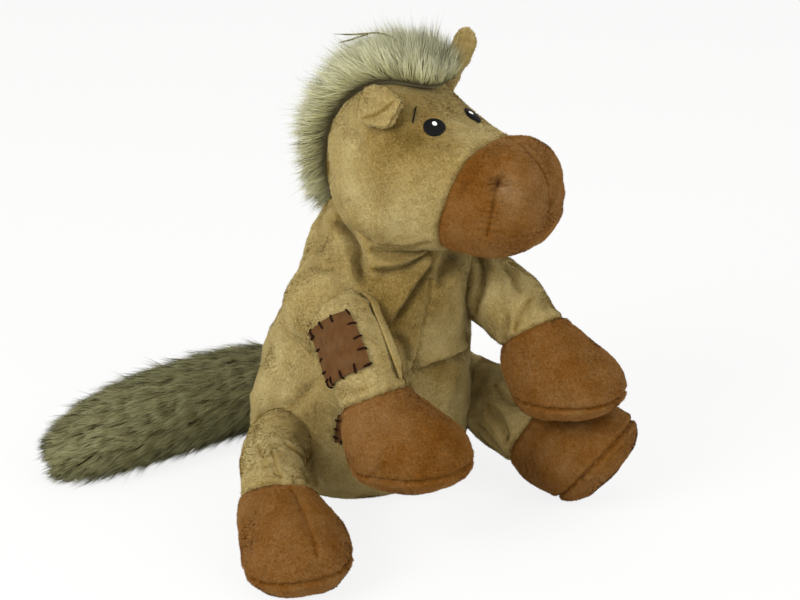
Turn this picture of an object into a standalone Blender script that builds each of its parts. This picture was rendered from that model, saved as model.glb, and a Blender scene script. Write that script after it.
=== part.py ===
"""Seated plush horse, built as a toy maker would take it apart on the bench.

Fabric skins are thin shells, the filling inside them is separate, and every
limb turns on a rounded root that sits in a hollow of the trunk.
Metres, +Z up. The horse faces -Y and its left side is +X.
The origin is the middle of the flat seat under the trunk.
"""
import math

import bmesh
import bpy
import numpy as np
from mathutils import Matrix, Vector

# Fabric and fits
SKIN = 0.0020
SEAM_GAP = 0.0003
SOCKET_CLEARANCE = 0.0007
PRESS_CLEARANCE = 0.0012

# Trunk: a pear that leans forward and a little to its left
TRUNK_HEIGHT = 0.132
TRUNK_WIDTH = 0.122
TRUNK_DEPTH = 0.110
TRUNK_LEAN = 0.019
TRUNK_SWAY = 0.007
POUCH_WIDTH = 0.072
POUCH_HEIGHT = 0.021

# Neck and head
NECK_RADIUS = 0.032
NECK_CENTRE_RISE = 0.010
HEAD_LENGTH = 0.125
HEAD_WIDTH = 0.078
HEAD_HEIGHT = 0.088
HEAD_FORWARD = 0.012
HEAD_RISE = 0.034
HEAD_HEADING = 20.0
HEAD_ROLL = 3.0
HEAD_SQUARENESS = 2.4
MUZZLE_SEAM_TILT = 17.0
EYE_WIDTH = 0.0125
EYE_HEIGHT = 0.0105
EYE_THICKNESS = 0.0012

# Ears
EAR_LENGTH = 0.036
EAR_WIDTH = 0.023
EAR_LAYER = 0.0012
EAR_ROOT_DEPTH = 0.003
EAR_CLEARANCE = 0.0008
EAR_TILT = 26.0
EAR_TURN = 100.0
EAR_FOLD_RIGHT = 130.0
EAR_FOLD_LEFT = 10.0

# Mane
MANE_WIDTH = 0.036
MANE_THICKNESS = 0.032
MANE_REACH = 0.055

# Arms
SHOULDER_HEIGHT = 0.112
SHOULDER_OUT = 0.0020
SHOULDER_BEARING = 80.0
ARM_RADIUS = 0.0175
ARM_LENGTH = 0.064
ARM_RIGHT_WAY = (3.0, 30.0)
ARM_LEFT_WAY = (2.0, 15.0)

# Legs
HIP_HEIGHT = 0.040
HIP_OUT = 0.0020
HIP_BEARING = 70.0
LEG_RADIUS = 0.0215
LEG_LENGTH = 0.052
LEG_RIGHT_WAY = (-37.0, 1.0)
LEG_LEFT_WAY = (4.0, 8.0)

# Hooves
HOOF_HEIGHT = 0.031
HOOF_LENGTH = 0.062
HOOF_WIDTH = 0.052
TOE_SHIFT = 0.012
SOLE_THICKNESS = 0.012
FORE_RIGHT_WAY = (4.0, 83.0)
FORE_RIGHT_TOE = (44.0, 0.0)
FORE_LEFT_WAY = (11.0, 85.0)
FORE_LEFT_TOE = (38.0, 10.0)
HIND_RIGHT_WAY = (5.0, 77.0)
HIND_RIGHT_TOE = (-8.0, 0.0)
HIND_LEFT_WAY = (31.0, 37.0)
HIND_LEFT_TOE = (33.0, -55.0)
REST_DEPTH = 0.0005

# Tail
TAIL_HEIGHT = 0.024
TAIL_BEARING = 178.0
TAIL_RADIUS = 0.0230
TAIL_LENGTH = 0.150

# Patches sewn on the right sleeve and on the belly
PATCH_THICKNESS = 0.0012
PATCH_LIFT = 0.0008
SLEEVE_PATCH_LENGTH = 0.029
SLEEVE_PATCH_WIDTH = 0.024
BELLY_PATCH_LENGTH = 0.020
BELLY_PATCH_WIDTH = 0.016
SLEEVE_PATCH_ANGLE = 99.0
BELLY_PATCH_HEIGHT = 0.050
BELLY_PATCH_BEARING = -38.0

# Facets
TRUNK_SIDES = 24
HEAD_SIDES = 20
LIMB_SIDES = 14
BALL_SIDES = 20
TRUNK_STEPS = 1
CURVE_STEPS = 8
MANE_SIDES = 16
EAR_SIDES = 10
LIMB_STEPS = 1
HEAD_STEPS = 1
MANE_STEPS = 2
TAIL_STEPS = 2
EAR_STEPS = 2
PATCH_STEPS = 5
MERGE = SEAM_GAP / 300
SHARP_ANGLE = 40.0
root_tilts = (0, 20, 45, 70)

# Height, width, depth and lean up the trunk
trunk_shares = (
    (0.00, 0.66, 0.66, 0.00),
    (0.06, 0.84, 0.84, 0.00),
    (0.17, 0.97, 0.97, 0.00),
    (0.33, 1.00, 1.00, 0.05),
    (0.52, 0.94, 0.94, 0.22),
    (0.70, 0.84, 0.86, 0.48),
    (0.84, 0.76, 0.80, 0.72),
    (0.93, 0.68, 0.73, 0.88),
    (0.98, 0.58, 0.64, 0.97),
    (1.00, 0.51, 0.565, 1.00),
)
seat_shares = (0.0, 0.36)

# Length, middle height, width, height and seam tilt from the back of the head
head_shares = (
    (0.000, 0.02, 0.00, 0.00, 0.0),
    (0.030, 0.02, 0.40, 0.40, 0.0),
    (0.110, 0.01, 0.72, 0.73, 0.0),
    (0.220, 0.00, 0.92, 0.93, 0.0),
    (0.355, -0.005, 1.00, 0.98, 0.2),
    (0.475, -0.050, 0.96, 0.83, 0.6),
    (0.575, -0.08, 0.86, 0.74, 0.9),
    (0.660, -0.075, 0.76, 0.67, 1.0),
    (0.745, -0.065, 0.77, 0.69, 0.8),
    (0.835, -0.06, 0.73, 0.65, 0.4),
    (0.915, -0.05, 0.60, 0.54, 0.1),
    (0.970, -0.04, 0.38, 0.35, 0.0),
    (1.000, -0.04, 0.00, 0.00, 0.0),
)
SKULL_ROW = 4
MUZZLE_SEAM_ROW = 7

# Along the limb, hoof and sole, then toe shift, limb girth, hoof girth, turn
limb_shares = (
    (0.00, 0.00, 0.00, 0.00, 1.00, 0.00, 0.00),
    (0.25, 0.00, 0.00, 0.00, 1.05, 0.00, 0.00),
    (0.50, 0.01, 0.00, 0.00, 1.05, 0.00, 0.08),
    (0.71, 0.05, 0.00, 0.00, 1.00, 0.00, 0.26),
    (0.87, 0.15, 0.00, 0.02, 0.96, 0.00, 0.50),
    (0.96, 0.36, 0.00, 0.32, 0.48, 0.50, 0.76),
    (1.00, 0.66, 0.00, 0.78, 0.04, 0.94, 0.97),
    (1.00, 1.00, 0.00, 1.00, 0.00, 0.95, 1.00),
    (1.00, 1.00, 0.50, 1.00, 0.00, 0.86, 1.00),
    (1.00, 1.00, 0.88, 1.00, 0.00, 0.58, 1.00),
    (1.00, 1.00, 1.00, 1.00, 0.00, 0.00, 1.00),
)
WRIST_ROW = 4
SOLE_ROW = 7

# Angle round the head, reach, thickness and width of the mane
mane_shares = (
    (60.0, 0.98, 0.00, 0.00),
    (66.0, 1.00, 0.72, 0.62),
    (82.0, 1.03, 1.00, 0.90),
    (108.0, 1.02, 1.05, 1.00),
    (140.0, 1.00, 1.00, 1.00),
    (175.0, 0.99, 0.90, 0.95),
    (198.0, 0.98, 0.66, 0.75),
    (208.0, 0.97, 0.00, 0.00),
)

# Right, back, girth and lift along the tail
tail_shares = (
    (0.00, 0.00, 0.72, 1.00),
    (0.03, 0.10, 0.86, 0.70),
    (0.15, 0.17, 1.00, 0.20),
    (0.35, 0.175, 1.05, 0.00),
    (0.57, 0.16, 1.04, 0.00),
    (0.78, 0.155, 0.92, 0.00),
    (0.92, 0.16, 0.66, 0.15),
    (0.975, 0.165, 0.34, 0.50),
    (0.99, 0.17, 0.00, 0.62),
)

# Length and width of an ear, from its root to its tip
ear_shares = (
    (0.00, 0.62),
    (0.25, 0.92),
    (0.50, 1.00),
    (0.75, 0.76),
    (0.93, 0.40),
    (1.00, 0.00),
)
FOLD_START_SHARE = 0.26
FOLD_SPAN_SHARE = 0.22
EAR_TAPER_SHARE = 0.40
SLEEVE_PATCH_SHARE = 0.60

# Height and girth of an eye, from its flat back to its crown
eye_shares = ((0.0, 1.0), (0.45, 0.96), (0.85, 0.70), (1.0, 0.35))
EYE_ROW = 5.2
EYE_ANGLE = 26.0
EYE_SIDES = 12
EAR_ROW = 4.0
EAR_ANGLE = 36.0
PROBE = 0.2


def clear_scene():
    """Remove whatever the file holds, so that the model stands alone."""
    for item in list(bpy.data.objects):
        bpy.data.objects.remove(item, do_unlink=True)


def material(name, colour, roughness=0.9, metallic=0.0):
    """A Principled material with one colour."""
    made = bpy.data.materials.new(name)
    made.use_nodes = True
    shader = made.node_tree.nodes["Principled BSDF"]
    shader.inputs["Base Color"].default_value = (*colour, 1.0)
    shader.inputs["Roughness"].default_value = roughness
    shader.inputs["Metallic"].default_value = metallic
    made.diffuse_color = (*colour, 1.0)
    return made


def direction(heading, drop):
    """Unit vector; heading turns from straight ahead to the horse's left."""
    turn = math.radians(heading)
    fall = math.radians(drop)
    flat = math.cos(fall)
    return np.array((math.sin(turn) * flat, -math.cos(turn) * flat, -math.sin(fall)))


def unit(vector):
    """The vector at length one."""
    return vector / np.linalg.norm(vector)


def smooth_rows(table, steps):
    """Rows on a smooth curve through a table, with steps between its rows."""
    rows = np.array(table, dtype=float)
    before = 2 * rows[0] - rows[1]
    after = 2 * rows[-1] - rows[-2]
    rows = np.vstack((before, rows, after))
    result = []
    for index in range(len(rows) - 3):
        a, b, c, d = rows[index:index + 4]
        for step in range(steps):
            t = step / steps
            bend = (2 * a - 5 * b + 4 * c - d) * t ** 2 + (3 * b - a - 3 * c + d) * t ** 3
            result.append(0.5 * (2 * b + (c - a) * t + bend))
    result.append(rows[-2])
    return np.array(result)


def ring(centre, across, deep, sides, squareness=2.0):
    """One closed ring of points, from its two half axes."""
    angles = np.arange(sides) * (2 * math.pi / sides)
    first = np.sign(np.cos(angles)) * np.abs(np.cos(angles)) ** (2 / squareness)
    second = np.sign(np.sin(angles)) * np.abs(np.sin(angles)) ** (2 / squareness)
    return centre + np.outer(first, across) + np.outer(second, deep)


def ring_normals(rings):
    """Outward directions at every point of a stack of rings."""
    around = np.roll(rings, -1, axis=1) - np.roll(rings, 1, axis=1)
    along = np.gradient(rings, axis=0)
    normals = np.cross(around, along)
    lengths = np.linalg.norm(normals, axis=2)
    lengths[lengths == 0] = 1
    normals = normals / lengths[:, :, None]
    middle = len(rings) // 2
    outward = rings[middle] - rings[middle].mean(axis=0)
    if np.sum(outward * normals[middle]) < 0:
        normals = -normals
    for end, inner in ((0, 1), (-1, -2)):
        if np.ptp(rings[end], axis=0).max() == 0:
            normals[end] = unit(normals[inner].mean(axis=0))
    return normals


def inset(rings, depth):
    """The rings moved inward by a depth, or outward where it is negative."""
    return rings - ring_normals(rings) * depth


def stretch_of(rings, first, last, gap):
    """Rings from first to last, each cut end drawn back by half a seam gap."""
    part = rings[first:last + 1].copy()
    if first > 0:
        step = part[1] - part[0]
        part[0] += step * (gap / 2 / np.linalg.norm(step, axis=1).mean())
    if last < len(rings) - 1:
        step = part[-2] - part[-1]
        part[-1] += step * (gap / 2 / np.linalg.norm(step, axis=1).mean())
    return part


def rest_on(rings, height):
    """Flatten the rings where they would sink below a height."""
    rested = rings.copy()
    rested[:, :, 2] = np.maximum(rested[:, :, 2], height)
    return rested


def add_wall(mesh, rings):
    """Triangles between consecutive rings; returns the rings' vertices."""
    rows = [[mesh.verts.new(point) for point in points] for points in rings]
    for lower, upper in zip(rows, rows[1:]):
        for side in range(len(lower)):
            after = (side + 1) % len(lower)
            mesh.faces.new((lower[side], lower[after], upper[after]))
            mesh.faces.new((lower[side], upper[after], upper[side]))
    return rows


def add_cap(mesh, row):
    """A fan over one ring, around its middle point."""
    middle = mesh.verts.new(sum((vertex.co for vertex in row), Vector()) / len(row))
    for side, vertex in enumerate(row):
        mesh.faces.new((vertex, row[(side + 1) % len(row)], middle))


def add_rim(mesh, outer_row, inner_row):
    """Quads that join an outer ring to an inner one at an open end."""
    for side in range(len(outer_row)):
        after = (side + 1) % len(outer_row)
        mesh.faces.new((outer_row[side], outer_row[after], inner_row[after], inner_row[side]))


def finish_object(name, mesh, finish, parent):
    """Turn a bmesh in world places into a named object under its pivot."""
    bmesh.ops.remove_doubles(mesh, verts=mesh.verts, dist=MERGE)
    bmesh.ops.recalc_face_normals(mesh, faces=mesh.faces)
    data = bpy.data.meshes.new(name)
    mesh.to_mesh(data)
    mesh.free()
    made = bpy.data.objects.new(name, data)
    bpy.context.scene.collection.objects.link(made)
    if parent is not None:
        place = parent.matrix_world.inverted()
        data.transform(place)
        made.parent = parent
    data.shade_smooth()
    data.set_sharp_from_angle(angle=math.radians(SHARP_ANGLE))
    if finish is not None:
        data.materials.append(finish)
    return made


def solid(name, rings, finish=None, parent=None):
    """A filled body from a stack of rings."""
    mesh = bmesh.new()
    rows = add_wall(mesh, rings)
    add_cap(mesh, rows[0])
    add_cap(mesh, rows[-1])
    return finish_object(name, mesh, finish, parent)


def shell(name, outer, inner, finish, parent=None, open_start=False, open_end=True):
    """A fabric skin between two stacks of rings, open at one end or both."""
    mesh = bmesh.new()
    outer_rows = add_wall(mesh, outer)
    inner_rows = add_wall(mesh, inner)
    for is_open, end in ((open_start, 0), (open_end, -1)):
        if is_open:
            add_rim(mesh, outer_rows[end], inner_rows[end])
        else:
            add_cap(mesh, outer_rows[end])
            add_cap(mesh, inner_rows[end])
    return finish_object(name, mesh, finish, parent)


def hide_cutter(cutter):
    """Mark an object as a cutter, which is not part of the toy."""
    cutter.hide_render = True
    cutter.hide_viewport = False
    cutter.display_type = "WIRE"
    return cutter


def cut(target, cutter):
    """Cut a target with a cutter by an exact Boolean."""
    step = target.modifiers.new(cutter.name, "BOOLEAN")
    step.operation = "DIFFERENCE"
    step.solver = "EXACT"
    step.object = cutter


def ball_rings(centre, radius, sides):
    """A stack of rings for a ball."""
    rings = []
    for tilt in np.linspace(0, math.pi, sides // 2 + 1):
        reach = radius * math.sin(tilt) if 0 < tilt < math.pi else 0
        middle = centre + np.array((0, 0, -radius * math.cos(tilt)))
        rings.append(ring(middle, (reach, 0, 0), (0, reach, 0), sides))
    return np.array(rings)


def pivot(name, place, heading=0.0, roll=0.0, parent=None):
    """An empty on a joint's axis."""
    made = bpy.data.objects.new(name, None)
    bpy.context.scene.collection.objects.link(made)
    turn = Matrix.Rotation(math.radians(heading), 4, "Z") @ Matrix.Rotation(math.radians(roll), 4, "Y")
    made.parent = parent
    made.matrix_world = Matrix.Translation(place) @ turn
    bpy.context.view_layer.update()
    return made


def trunk_size(height):
    """Middle, half width and half depth of the trunk at a height."""
    rows = smooth_rows(trunk_shares, CURVE_STEPS)
    share = height / TRUNK_HEIGHT
    width, depth, lean = (np.interp(share, rows[:, 0], rows[:, column]) for column in (1, 2, 3))
    middle = np.array((TRUNK_SWAY * lean, -TRUNK_LEAN * lean, height))
    return middle, width * TRUNK_WIDTH / 2, depth * TRUNK_DEPTH / 2


def trunk_point(height, bearing, outward):
    """A point off the trunk's surface, at a bearing from straight ahead."""
    middle, half_width, half_depth = trunk_size(height)
    way = direction(bearing, 0)
    reach = 1 / math.hypot(way[0] / half_width, way[1] / half_depth)
    return middle + way * (reach + outward)


def trunk_rings():
    """The trunk's outer surface, with its flat seat at the floor."""
    rings = []
    first_width, first_depth = trunk_shares[0][1], trunk_shares[0][2]
    for share in seat_shares:
        across = (TRUNK_WIDTH / 2 * share, 0, 0)
        deep = (0, TRUNK_DEPTH / 2 * share * first_depth / first_width, 0)
        rings.append(ring(np.zeros(3), across, deep, TRUNK_SIDES))
    for height, width, depth, lean in smooth_rows(trunk_shares, TRUNK_STEPS):
        middle = np.array((TRUNK_SWAY * lean, -TRUNK_LEAN * lean, TRUNK_HEIGHT * height))
        across = (TRUNK_WIDTH / 2 * width, 0, 0)
        deep = (0, TRUNK_DEPTH / 2 * depth, 0)
        rings.append(ring(middle, across, deep, TRUNK_SIDES))
    return np.array(rings)


def limb_rings(root, radius, length, limb_way, hoof_way, toe_way):
    """A limb from its round root to the pole of its puffy sole."""
    rings = []
    side_way = unit(np.cross(limb_way, toe_way))
    up_way = np.cross(side_way, limb_way)
    for tilt in root_tilts:
        angle = math.radians(tilt)
        middle = root - limb_way * radius * math.cos(angle)
        reach = radius * math.sin(angle)
        rings.append(ring(middle, up_way * reach, side_way * reach, LIMB_SIDES))
    for row in smooth_rows(limb_shares, LIMB_STEPS):
        along, hoof, sole, toe, limb_girth, hoof_girth, turn = row
        way = unit(limb_way * (1 - turn) + hoof_way * turn)
        side_way = unit(np.cross(way, toe_way))
        up_way = np.cross(side_way, way)
        middle = root + limb_way * length * along + toe_way * TOE_SHIFT * toe
        middle = middle + hoof_way * (HOOF_HEIGHT * hoof + SOLE_THICKNESS * sole)
        half_long = radius * limb_girth + HOOF_LENGTH / 2 * hoof_girth
        half_wide = radius * limb_girth + HOOF_WIDTH / 2 * hoof_girth
        rings.append(ring(middle, up_way * half_long, side_way * half_wide, LIMB_SIDES))
    return np.array(rings)


def trunk_press(name, depth, root, radius):
    """What the trunk pushes out of a limb layer, but for the hollow of its root."""
    block = hide_cutter(solid(name, inset(trunk_rings(), -PRESS_CLEARANCE - depth)))
    hollow_radius = radius + SEAM_GAP - depth
    hollow = hide_cutter(solid(name + "_hollow", ball_rings(root, hollow_radius, BALL_SIDES)))
    cut(block, hollow)
    return block


def make_limb(side, kind, root, rings, radius, empty, finishes):
    """Skin, filling, hoof and sole of one limb, pressed aside by the trunk."""
    names = [f"{kind}_{side}_skin", f"{kind}_{side}_stuffing"]
    hoof_kind = "fore" if kind == "arm" else "hind"
    wrist = len(root_tilts) + WRIST_ROW * LIMB_STEPS
    sole = len(root_tilts) + SOLE_ROW * LIMB_STEPS
    inner = inset(rings, SKIN)
    core = inset(rings, SKIN + SEAM_GAP)

    skin = solid(names[0], stretch_of(rings, 0, wrist, SEAM_GAP), finishes["minky"], empty)
    cut(skin, trunk_press(f"press_{names[0]}", 0, root, radius))
    cavity = hide_cutter(solid(f"cavity_{names[0]}", inner[:wrist + 2]))
    cut(cavity, trunk_press(f"press_cavity_{names[0]}", SKIN, root, radius))
    cut(skin, cavity)

    stuffing = solid(names[1], stretch_of(core, 0, sole, SEAM_GAP), finishes["filling"], empty)
    cut(stuffing, trunk_press(f"press_{names[1]}", SKIN + SEAM_GAP, root, radius))

    hoof = solid(f"{hoof_kind}_hoof_{side}", stretch_of(rings, wrist, sole, SEAM_GAP), finishes["hoof"], empty)
    cut(hoof, hide_cutter(solid(f"cavity_{hoof_kind}_{side}", inner[wrist - 1:sole + 2])))
    solid(f"{hoof_kind}_sole_{side}", stretch_of(rings, sole, len(rings) - 1, SEAM_GAP), finishes["hoof"], empty)


def surface_at(rings, row, angle):
    """A point between the corners of a ring surface."""
    sides = rings.shape[1]
    place = (angle / (2 * math.pi) * sides) % sides
    low_side = int(place)
    low_row = min(int(row), len(rings) - 2)
    across = place - low_side
    up = row - low_row
    corners = rings[low_row:low_row + 2][:, (low_side, (low_side + 1) % sides)]
    edge = corners[0] * (1 - up) + corners[1] * up
    return edge[0] * (1 - across) + edge[1] * across


def surface_way(rings, row, angle):
    """The outward direction of a ring surface at a place."""
    across = surface_at(rings, row, angle - PROBE) - surface_at(rings, row, angle + PROBE)
    along = surface_at(rings, row + PROBE, angle) - surface_at(rings, row - PROBE, angle)
    out = unit(np.cross(along, across))
    outward = surface_at(rings, row, angle) - rings[int(row)].mean(axis=0)
    return out if np.dot(out, outward) > 0 else -out


def make_patch(name, rings, middle, half_rows, half_angle, finish, empty):
    """A square of cloth that lies over a ring surface."""
    row, angle = middle
    shares = np.linspace(-1, 1, PATCH_STEPS + 1)
    mesh = bmesh.new()
    sheets = []
    for lift in (PATCH_LIFT, PATCH_LIFT + PATCH_THICKNESS):
        lifted = inset(rings, -lift)
        sheet = [[mesh.verts.new(surface_at(lifted, row + half_rows * u, angle + half_angle * v))
                  for v in shares] for u in shares]
        sheets.append(sheet)
        for first in range(PATCH_STEPS):
            for second in range(PATCH_STEPS):
                mesh.faces.new((sheet[first][second], sheet[first + 1][second],
                                sheet[first + 1][second + 1], sheet[first][second + 1]))
    edges = []
    for sheet in sheets:
        edges.append(sheet[0][:-1] + [line[-1] for line in sheet[:-1]]
                     + sheet[-1][:0:-1] + [line[0] for line in sheet[:0:-1]])
    add_rim(mesh, edges[0], edges[1])
    return finish_object(name, mesh, finish, empty)


def head_rings(empty):
    """The head from the back of the skull to the front of the muzzle."""
    rings = []
    back = head_shares[SKULL_ROW][0] * HEAD_LENGTH
    for along, rise, width, height, tilt in smooth_rows(head_shares, HEAD_STEPS):
        lean = math.radians(MUZZLE_SEAM_TILT) * tilt
        middle = (0, -HEAD_FORWARD + back - HEAD_LENGTH * along, HEAD_RISE + HEAD_HEIGHT * rise)
        across = (HEAD_WIDTH / 2 * width, 0, 0)
        deep = (0, -math.sin(lean) * HEAD_HEIGHT / 2 * height, math.cos(lean) * HEAD_HEIGHT / 2 * height)
        rings.append(ring(np.array(middle), across, deep, HEAD_SIDES, HEAD_SQUARENESS))
    return to_world(np.array(rings), empty)


def to_world(points, empty):
    """Points of an empty's own frame, in world places."""
    frame = np.array(empty.matrix_world)
    return points @ frame[:3, :3].T + frame[:3, 3]


def way_to_world(vector, empty):
    """A direction of an empty's own frame, in the world."""
    return np.array(empty.matrix_world)[:3, :3] @ np.array(vector, dtype=float)


def mane_rings(empty):
    """The crest of pile from the forelock over the poll to the nape."""
    rings = []
    skull = np.array((0, -HEAD_FORWARD, HEAD_RISE))
    for angle, reach, thickness, width in smooth_rows(mane_shares, MANE_STEPS):
        turn = math.radians(angle)
        way = np.array((0, -math.cos(turn), math.sin(turn)))
        across = (MANE_WIDTH / 2 * width, 0, 0)
        rings.append(ring(skull + way * MANE_REACH * reach, across, way * MANE_THICKNESS / 2 * thickness,
                          MANE_SIDES))
    return to_world(np.array(rings), empty)


def tail_rings(root):
    """The tail from its round root, laid along the floor to the horse's right."""
    rows = smooth_rows(tail_shares, TAIL_STEPS)
    middles = []
    for right, back, girth, lift in rows:
        floor_height = girth * TAIL_RADIUS - REST_DEPTH
        height = TAIL_HEIGHT * lift + floor_height * (1 - lift)
        middles.append((root[0] - TAIL_LENGTH * right, root[1] + TAIL_LENGTH * back, height))
    middles = np.array(middles)
    ways = np.gradient(middles, axis=0)
    ways[:, 2] = 0
    rings = []
    root_radius = tail_shares[0][2] * TAIL_RADIUS
    first_way = unit(ways[0])
    for tilt in root_tilts:
        angle = math.radians(tilt)
        side_way = np.cross(first_way, (0, 0, 1)) * root_radius * math.sin(angle)
        rings.append(ring(middles[0] - first_way * root_radius * math.cos(angle), side_way,
                          (0, 0, root_radius * math.sin(angle)), LIMB_SIDES))
    for middle, way, row in zip(middles, ways, rows):
        reach = row[2] * TAIL_RADIUS
        side_way = np.cross(unit(way), (0, 0, 1)) * reach
        rings.append(ring(middle, side_way, (0, 0, reach), LIMB_SIDES))
    return rest_on(np.array(rings), 0)


def ear_rings(fold, offset):
    """One layer of an ear in its root's frame: X across, Z up the ear, Y out of it."""
    rings = []
    place = np.array((0, 0, -EAR_ROOT_DEPTH))
    travelled = 0
    for share, width in smooth_rows(ear_shares, EAR_STEPS):
        bend = math.radians(fold) * min(max((share - FOLD_START_SHARE) / FOLD_SPAN_SHARE, 0), 1)
        way = np.array((0, math.sin(bend), math.cos(bend)))
        out = np.array((0, math.cos(bend), -math.sin(bend)))
        place = place + way * EAR_LENGTH * (share - travelled)
        travelled = share
        thin = min(1, width / EAR_TAPER_SHARE)
        rings.append(ring(place + out * offset, (EAR_WIDTH / 2 * width, 0, 0),
                          out * EAR_LAYER / 2 * thin, EAR_SIDES))
    return np.array(rings)


def make_ear(side, sign, rings, head_empty, fold, finishes):
    """The two layers of an ear, standing on the head at its flop pivot."""
    root = surface_at(rings, EAR_ROW * HEAD_STEPS, math.radians(90 - sign * EAR_ANGLE))
    tilt = math.radians(EAR_TILT) * sign
    turn = math.radians(EAR_TURN) * sign
    up_way = way_to_world((math.sin(tilt), 0, math.cos(tilt)), head_empty)
    front_way = way_to_world((math.sin(turn), -math.cos(turn), 0), head_empty)
    side_way = unit(np.cross(front_way, up_way))
    frame = np.column_stack((side_way, np.cross(up_way, side_way), up_way))
    empty = pivot(f"ear_{side}_flop", root, parent=head_empty)
    empty.matrix_world = Matrix.Translation(root) @ Matrix(frame.tolist()).to_4x4()
    bpy.context.view_layer.update()
    room = hide_cutter(solid(f"ear_room_{side}", inset(rings, -EAR_CLEARANCE)))
    half_step = (EAR_LAYER + SEAM_GAP) / 2
    for layer, offset in (("back", -half_step), ("lining", half_step)):
        layer_rings = to_world(ear_rings(fold, offset), empty)
        cut(solid(f"ear_{side}_{layer}", layer_rings, finishes["minky"], empty), room)


def paint(hex_colour):
    """An sRGB hex colour as the linear numbers that a shader takes."""
    values = [int(hex_colour[place:place + 2], 16) / 255 for place in (1, 3, 5)]
    return tuple(v / 12.92 if v <= 0.04045 else ((v + 0.055) / 1.055) ** 2.4 for v in values)


def square_to(way, hint):
    """The part of a hint that is square to a way, at length one."""
    return unit(hint - way * np.dot(way, hint))


def make_trunk(finishes, roots):
    """Skin, filling and pellet pouch, with a hollow for every limb's root."""
    rings = trunk_rings()
    skin = shell("body_skin", rings, inset(rings, SKIN), finishes["minky"])
    stuffing = solid("body_stuffing", inset(rings, SKIN + SEAM_GAP), finishes["filling"])

    floor_height = SKIN + SEAM_GAP
    middle = np.array((0, 0, floor_height + POUCH_HEIGHT / 2 - REST_DEPTH))
    flat = np.array((POUCH_WIDTH / 2, POUCH_WIDTH / 2, POUCH_HEIGHT / 2))
    unit_ball = ball_rings(np.zeros(3), 1, BALL_SIDES)
    pouch = rest_on(unit_ball * flat + middle, floor_height)
    solid("bean_pouch", pouch, finishes["pouch"])
    room = hide_cutter(solid("pouch_room", unit_ball * (flat + SEAM_GAP + REST_DEPTH) + middle))
    cut(stuffing, room)
    for name, root, radius in roots:
        hollow = solid(f"hollow_{name}", ball_rings(root, radius + SOCKET_CLEARANCE, BALL_SIDES))
        hide_cutter(hollow)
        cut(skin, hollow)
        cut(stuffing, hollow)
    first = len(seat_shares)
    patch_height = np.interp(BELLY_PATCH_HEIGHT, rings[first:, 0, 2], np.arange(first, len(rings)))
    way = direction(BELLY_PATCH_BEARING, 0)
    half_rows = BELLY_PATCH_LENGTH / 2 / (rings[int(patch_height) + 1, 0, 2] - rings[int(patch_height), 0, 2])
    half_angle = BELLY_PATCH_WIDTH / TRUNK_WIDTH
    place = (patch_height, math.atan2(way[1], way[0]))
    make_patch("belly_patch", rings, place, half_rows, half_angle, finishes["suede"], None)


def make_neck(finishes, empty):
    """The stuffed neck: a ball cut flat where it sits on the trunk."""
    middle = np.array((TRUNK_SWAY, -TRUNK_LEAN, TRUNK_HEIGHT + NECK_CENTRE_RISE))
    rings = ball_rings(middle, NECK_RADIUS, BALL_SIDES)
    neck = solid("neck", rest_on(rings, TRUNK_HEIGHT + SEAM_GAP), finishes["minky"], empty)
    return neck, middle


def make_head(finishes, empty, neck_middle):
    """Skull skin, muzzle skin, filling, eyes and mane."""
    rings = head_rings(empty)
    inner = inset(rings, SKIN)
    seam = MUZZLE_SEAM_ROW * HEAD_STEPS
    last = len(rings) - 1
    hollow = hide_cutter(solid("hollow_neck", ball_rings(neck_middle, NECK_RADIUS + SOCKET_CLEARANCE,
                                                         BALL_SIDES)))
    skull = shell("head_skin", stretch_of(rings, 0, seam, SEAM_GAP), stretch_of(inner, 0, seam, SEAM_GAP),
                  finishes["minky"], empty)
    cut(skull, hollow)
    shell("muzzle_skin", stretch_of(rings, seam, last, SEAM_GAP), stretch_of(inner, seam, last, SEAM_GAP),
          finishes["hoof"], empty, open_start=True, open_end=False)
    stuffing = solid("head_stuffing", inset(rings, SKIN + SEAM_GAP), finishes["filling"], empty)
    cut(stuffing, hollow)
    mane = solid("mane", mane_rings(empty), finishes["mane"], empty)
    cut(mane, hide_cutter(solid("mane_room", inset(rings, -SEAM_GAP))))
    for side, sign in (("right", -1), ("left", 1)):
        make_eye(side, sign, rings, finishes, empty)
    make_ear("right", -1, rings, empty, EAR_FOLD_RIGHT, finishes)
    make_ear("left", 1, rings, empty, EAR_FOLD_LEFT, finishes)


def make_eye(side, sign, rings, finishes, empty):
    """An oval eye of satin stitch, domed over its middle."""
    row = EYE_ROW * HEAD_STEPS
    angle = math.radians(90 - sign * EYE_ANGLE)
    lifted = inset(rings, -SEAM_GAP)
    place = surface_at(lifted, row, angle)
    out = surface_way(lifted, row, angle)
    up = square_to(out, way_to_world((0, 0, 1), empty))
    side_way = np.cross(up, out)
    eye = []
    for height, girth in eye_shares:
        eye.append(ring(place + out * EYE_THICKNESS * height, side_way * EYE_WIDTH / 2 * girth,
                        up * EYE_HEIGHT / 2 * girth, EYE_SIDES))
    solid(f"eye_{side}", np.array(eye), finishes["eye"], empty)


def make_tail(finishes, empty, root):
    """The tail and the press of the trunk against it."""
    tail = solid("tail", tail_rings(root), finishes["tail"], empty)
    cut(tail, trunk_press("press_tail", 0, root, tail_shares[0][2] * TAIL_RADIUS))


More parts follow.
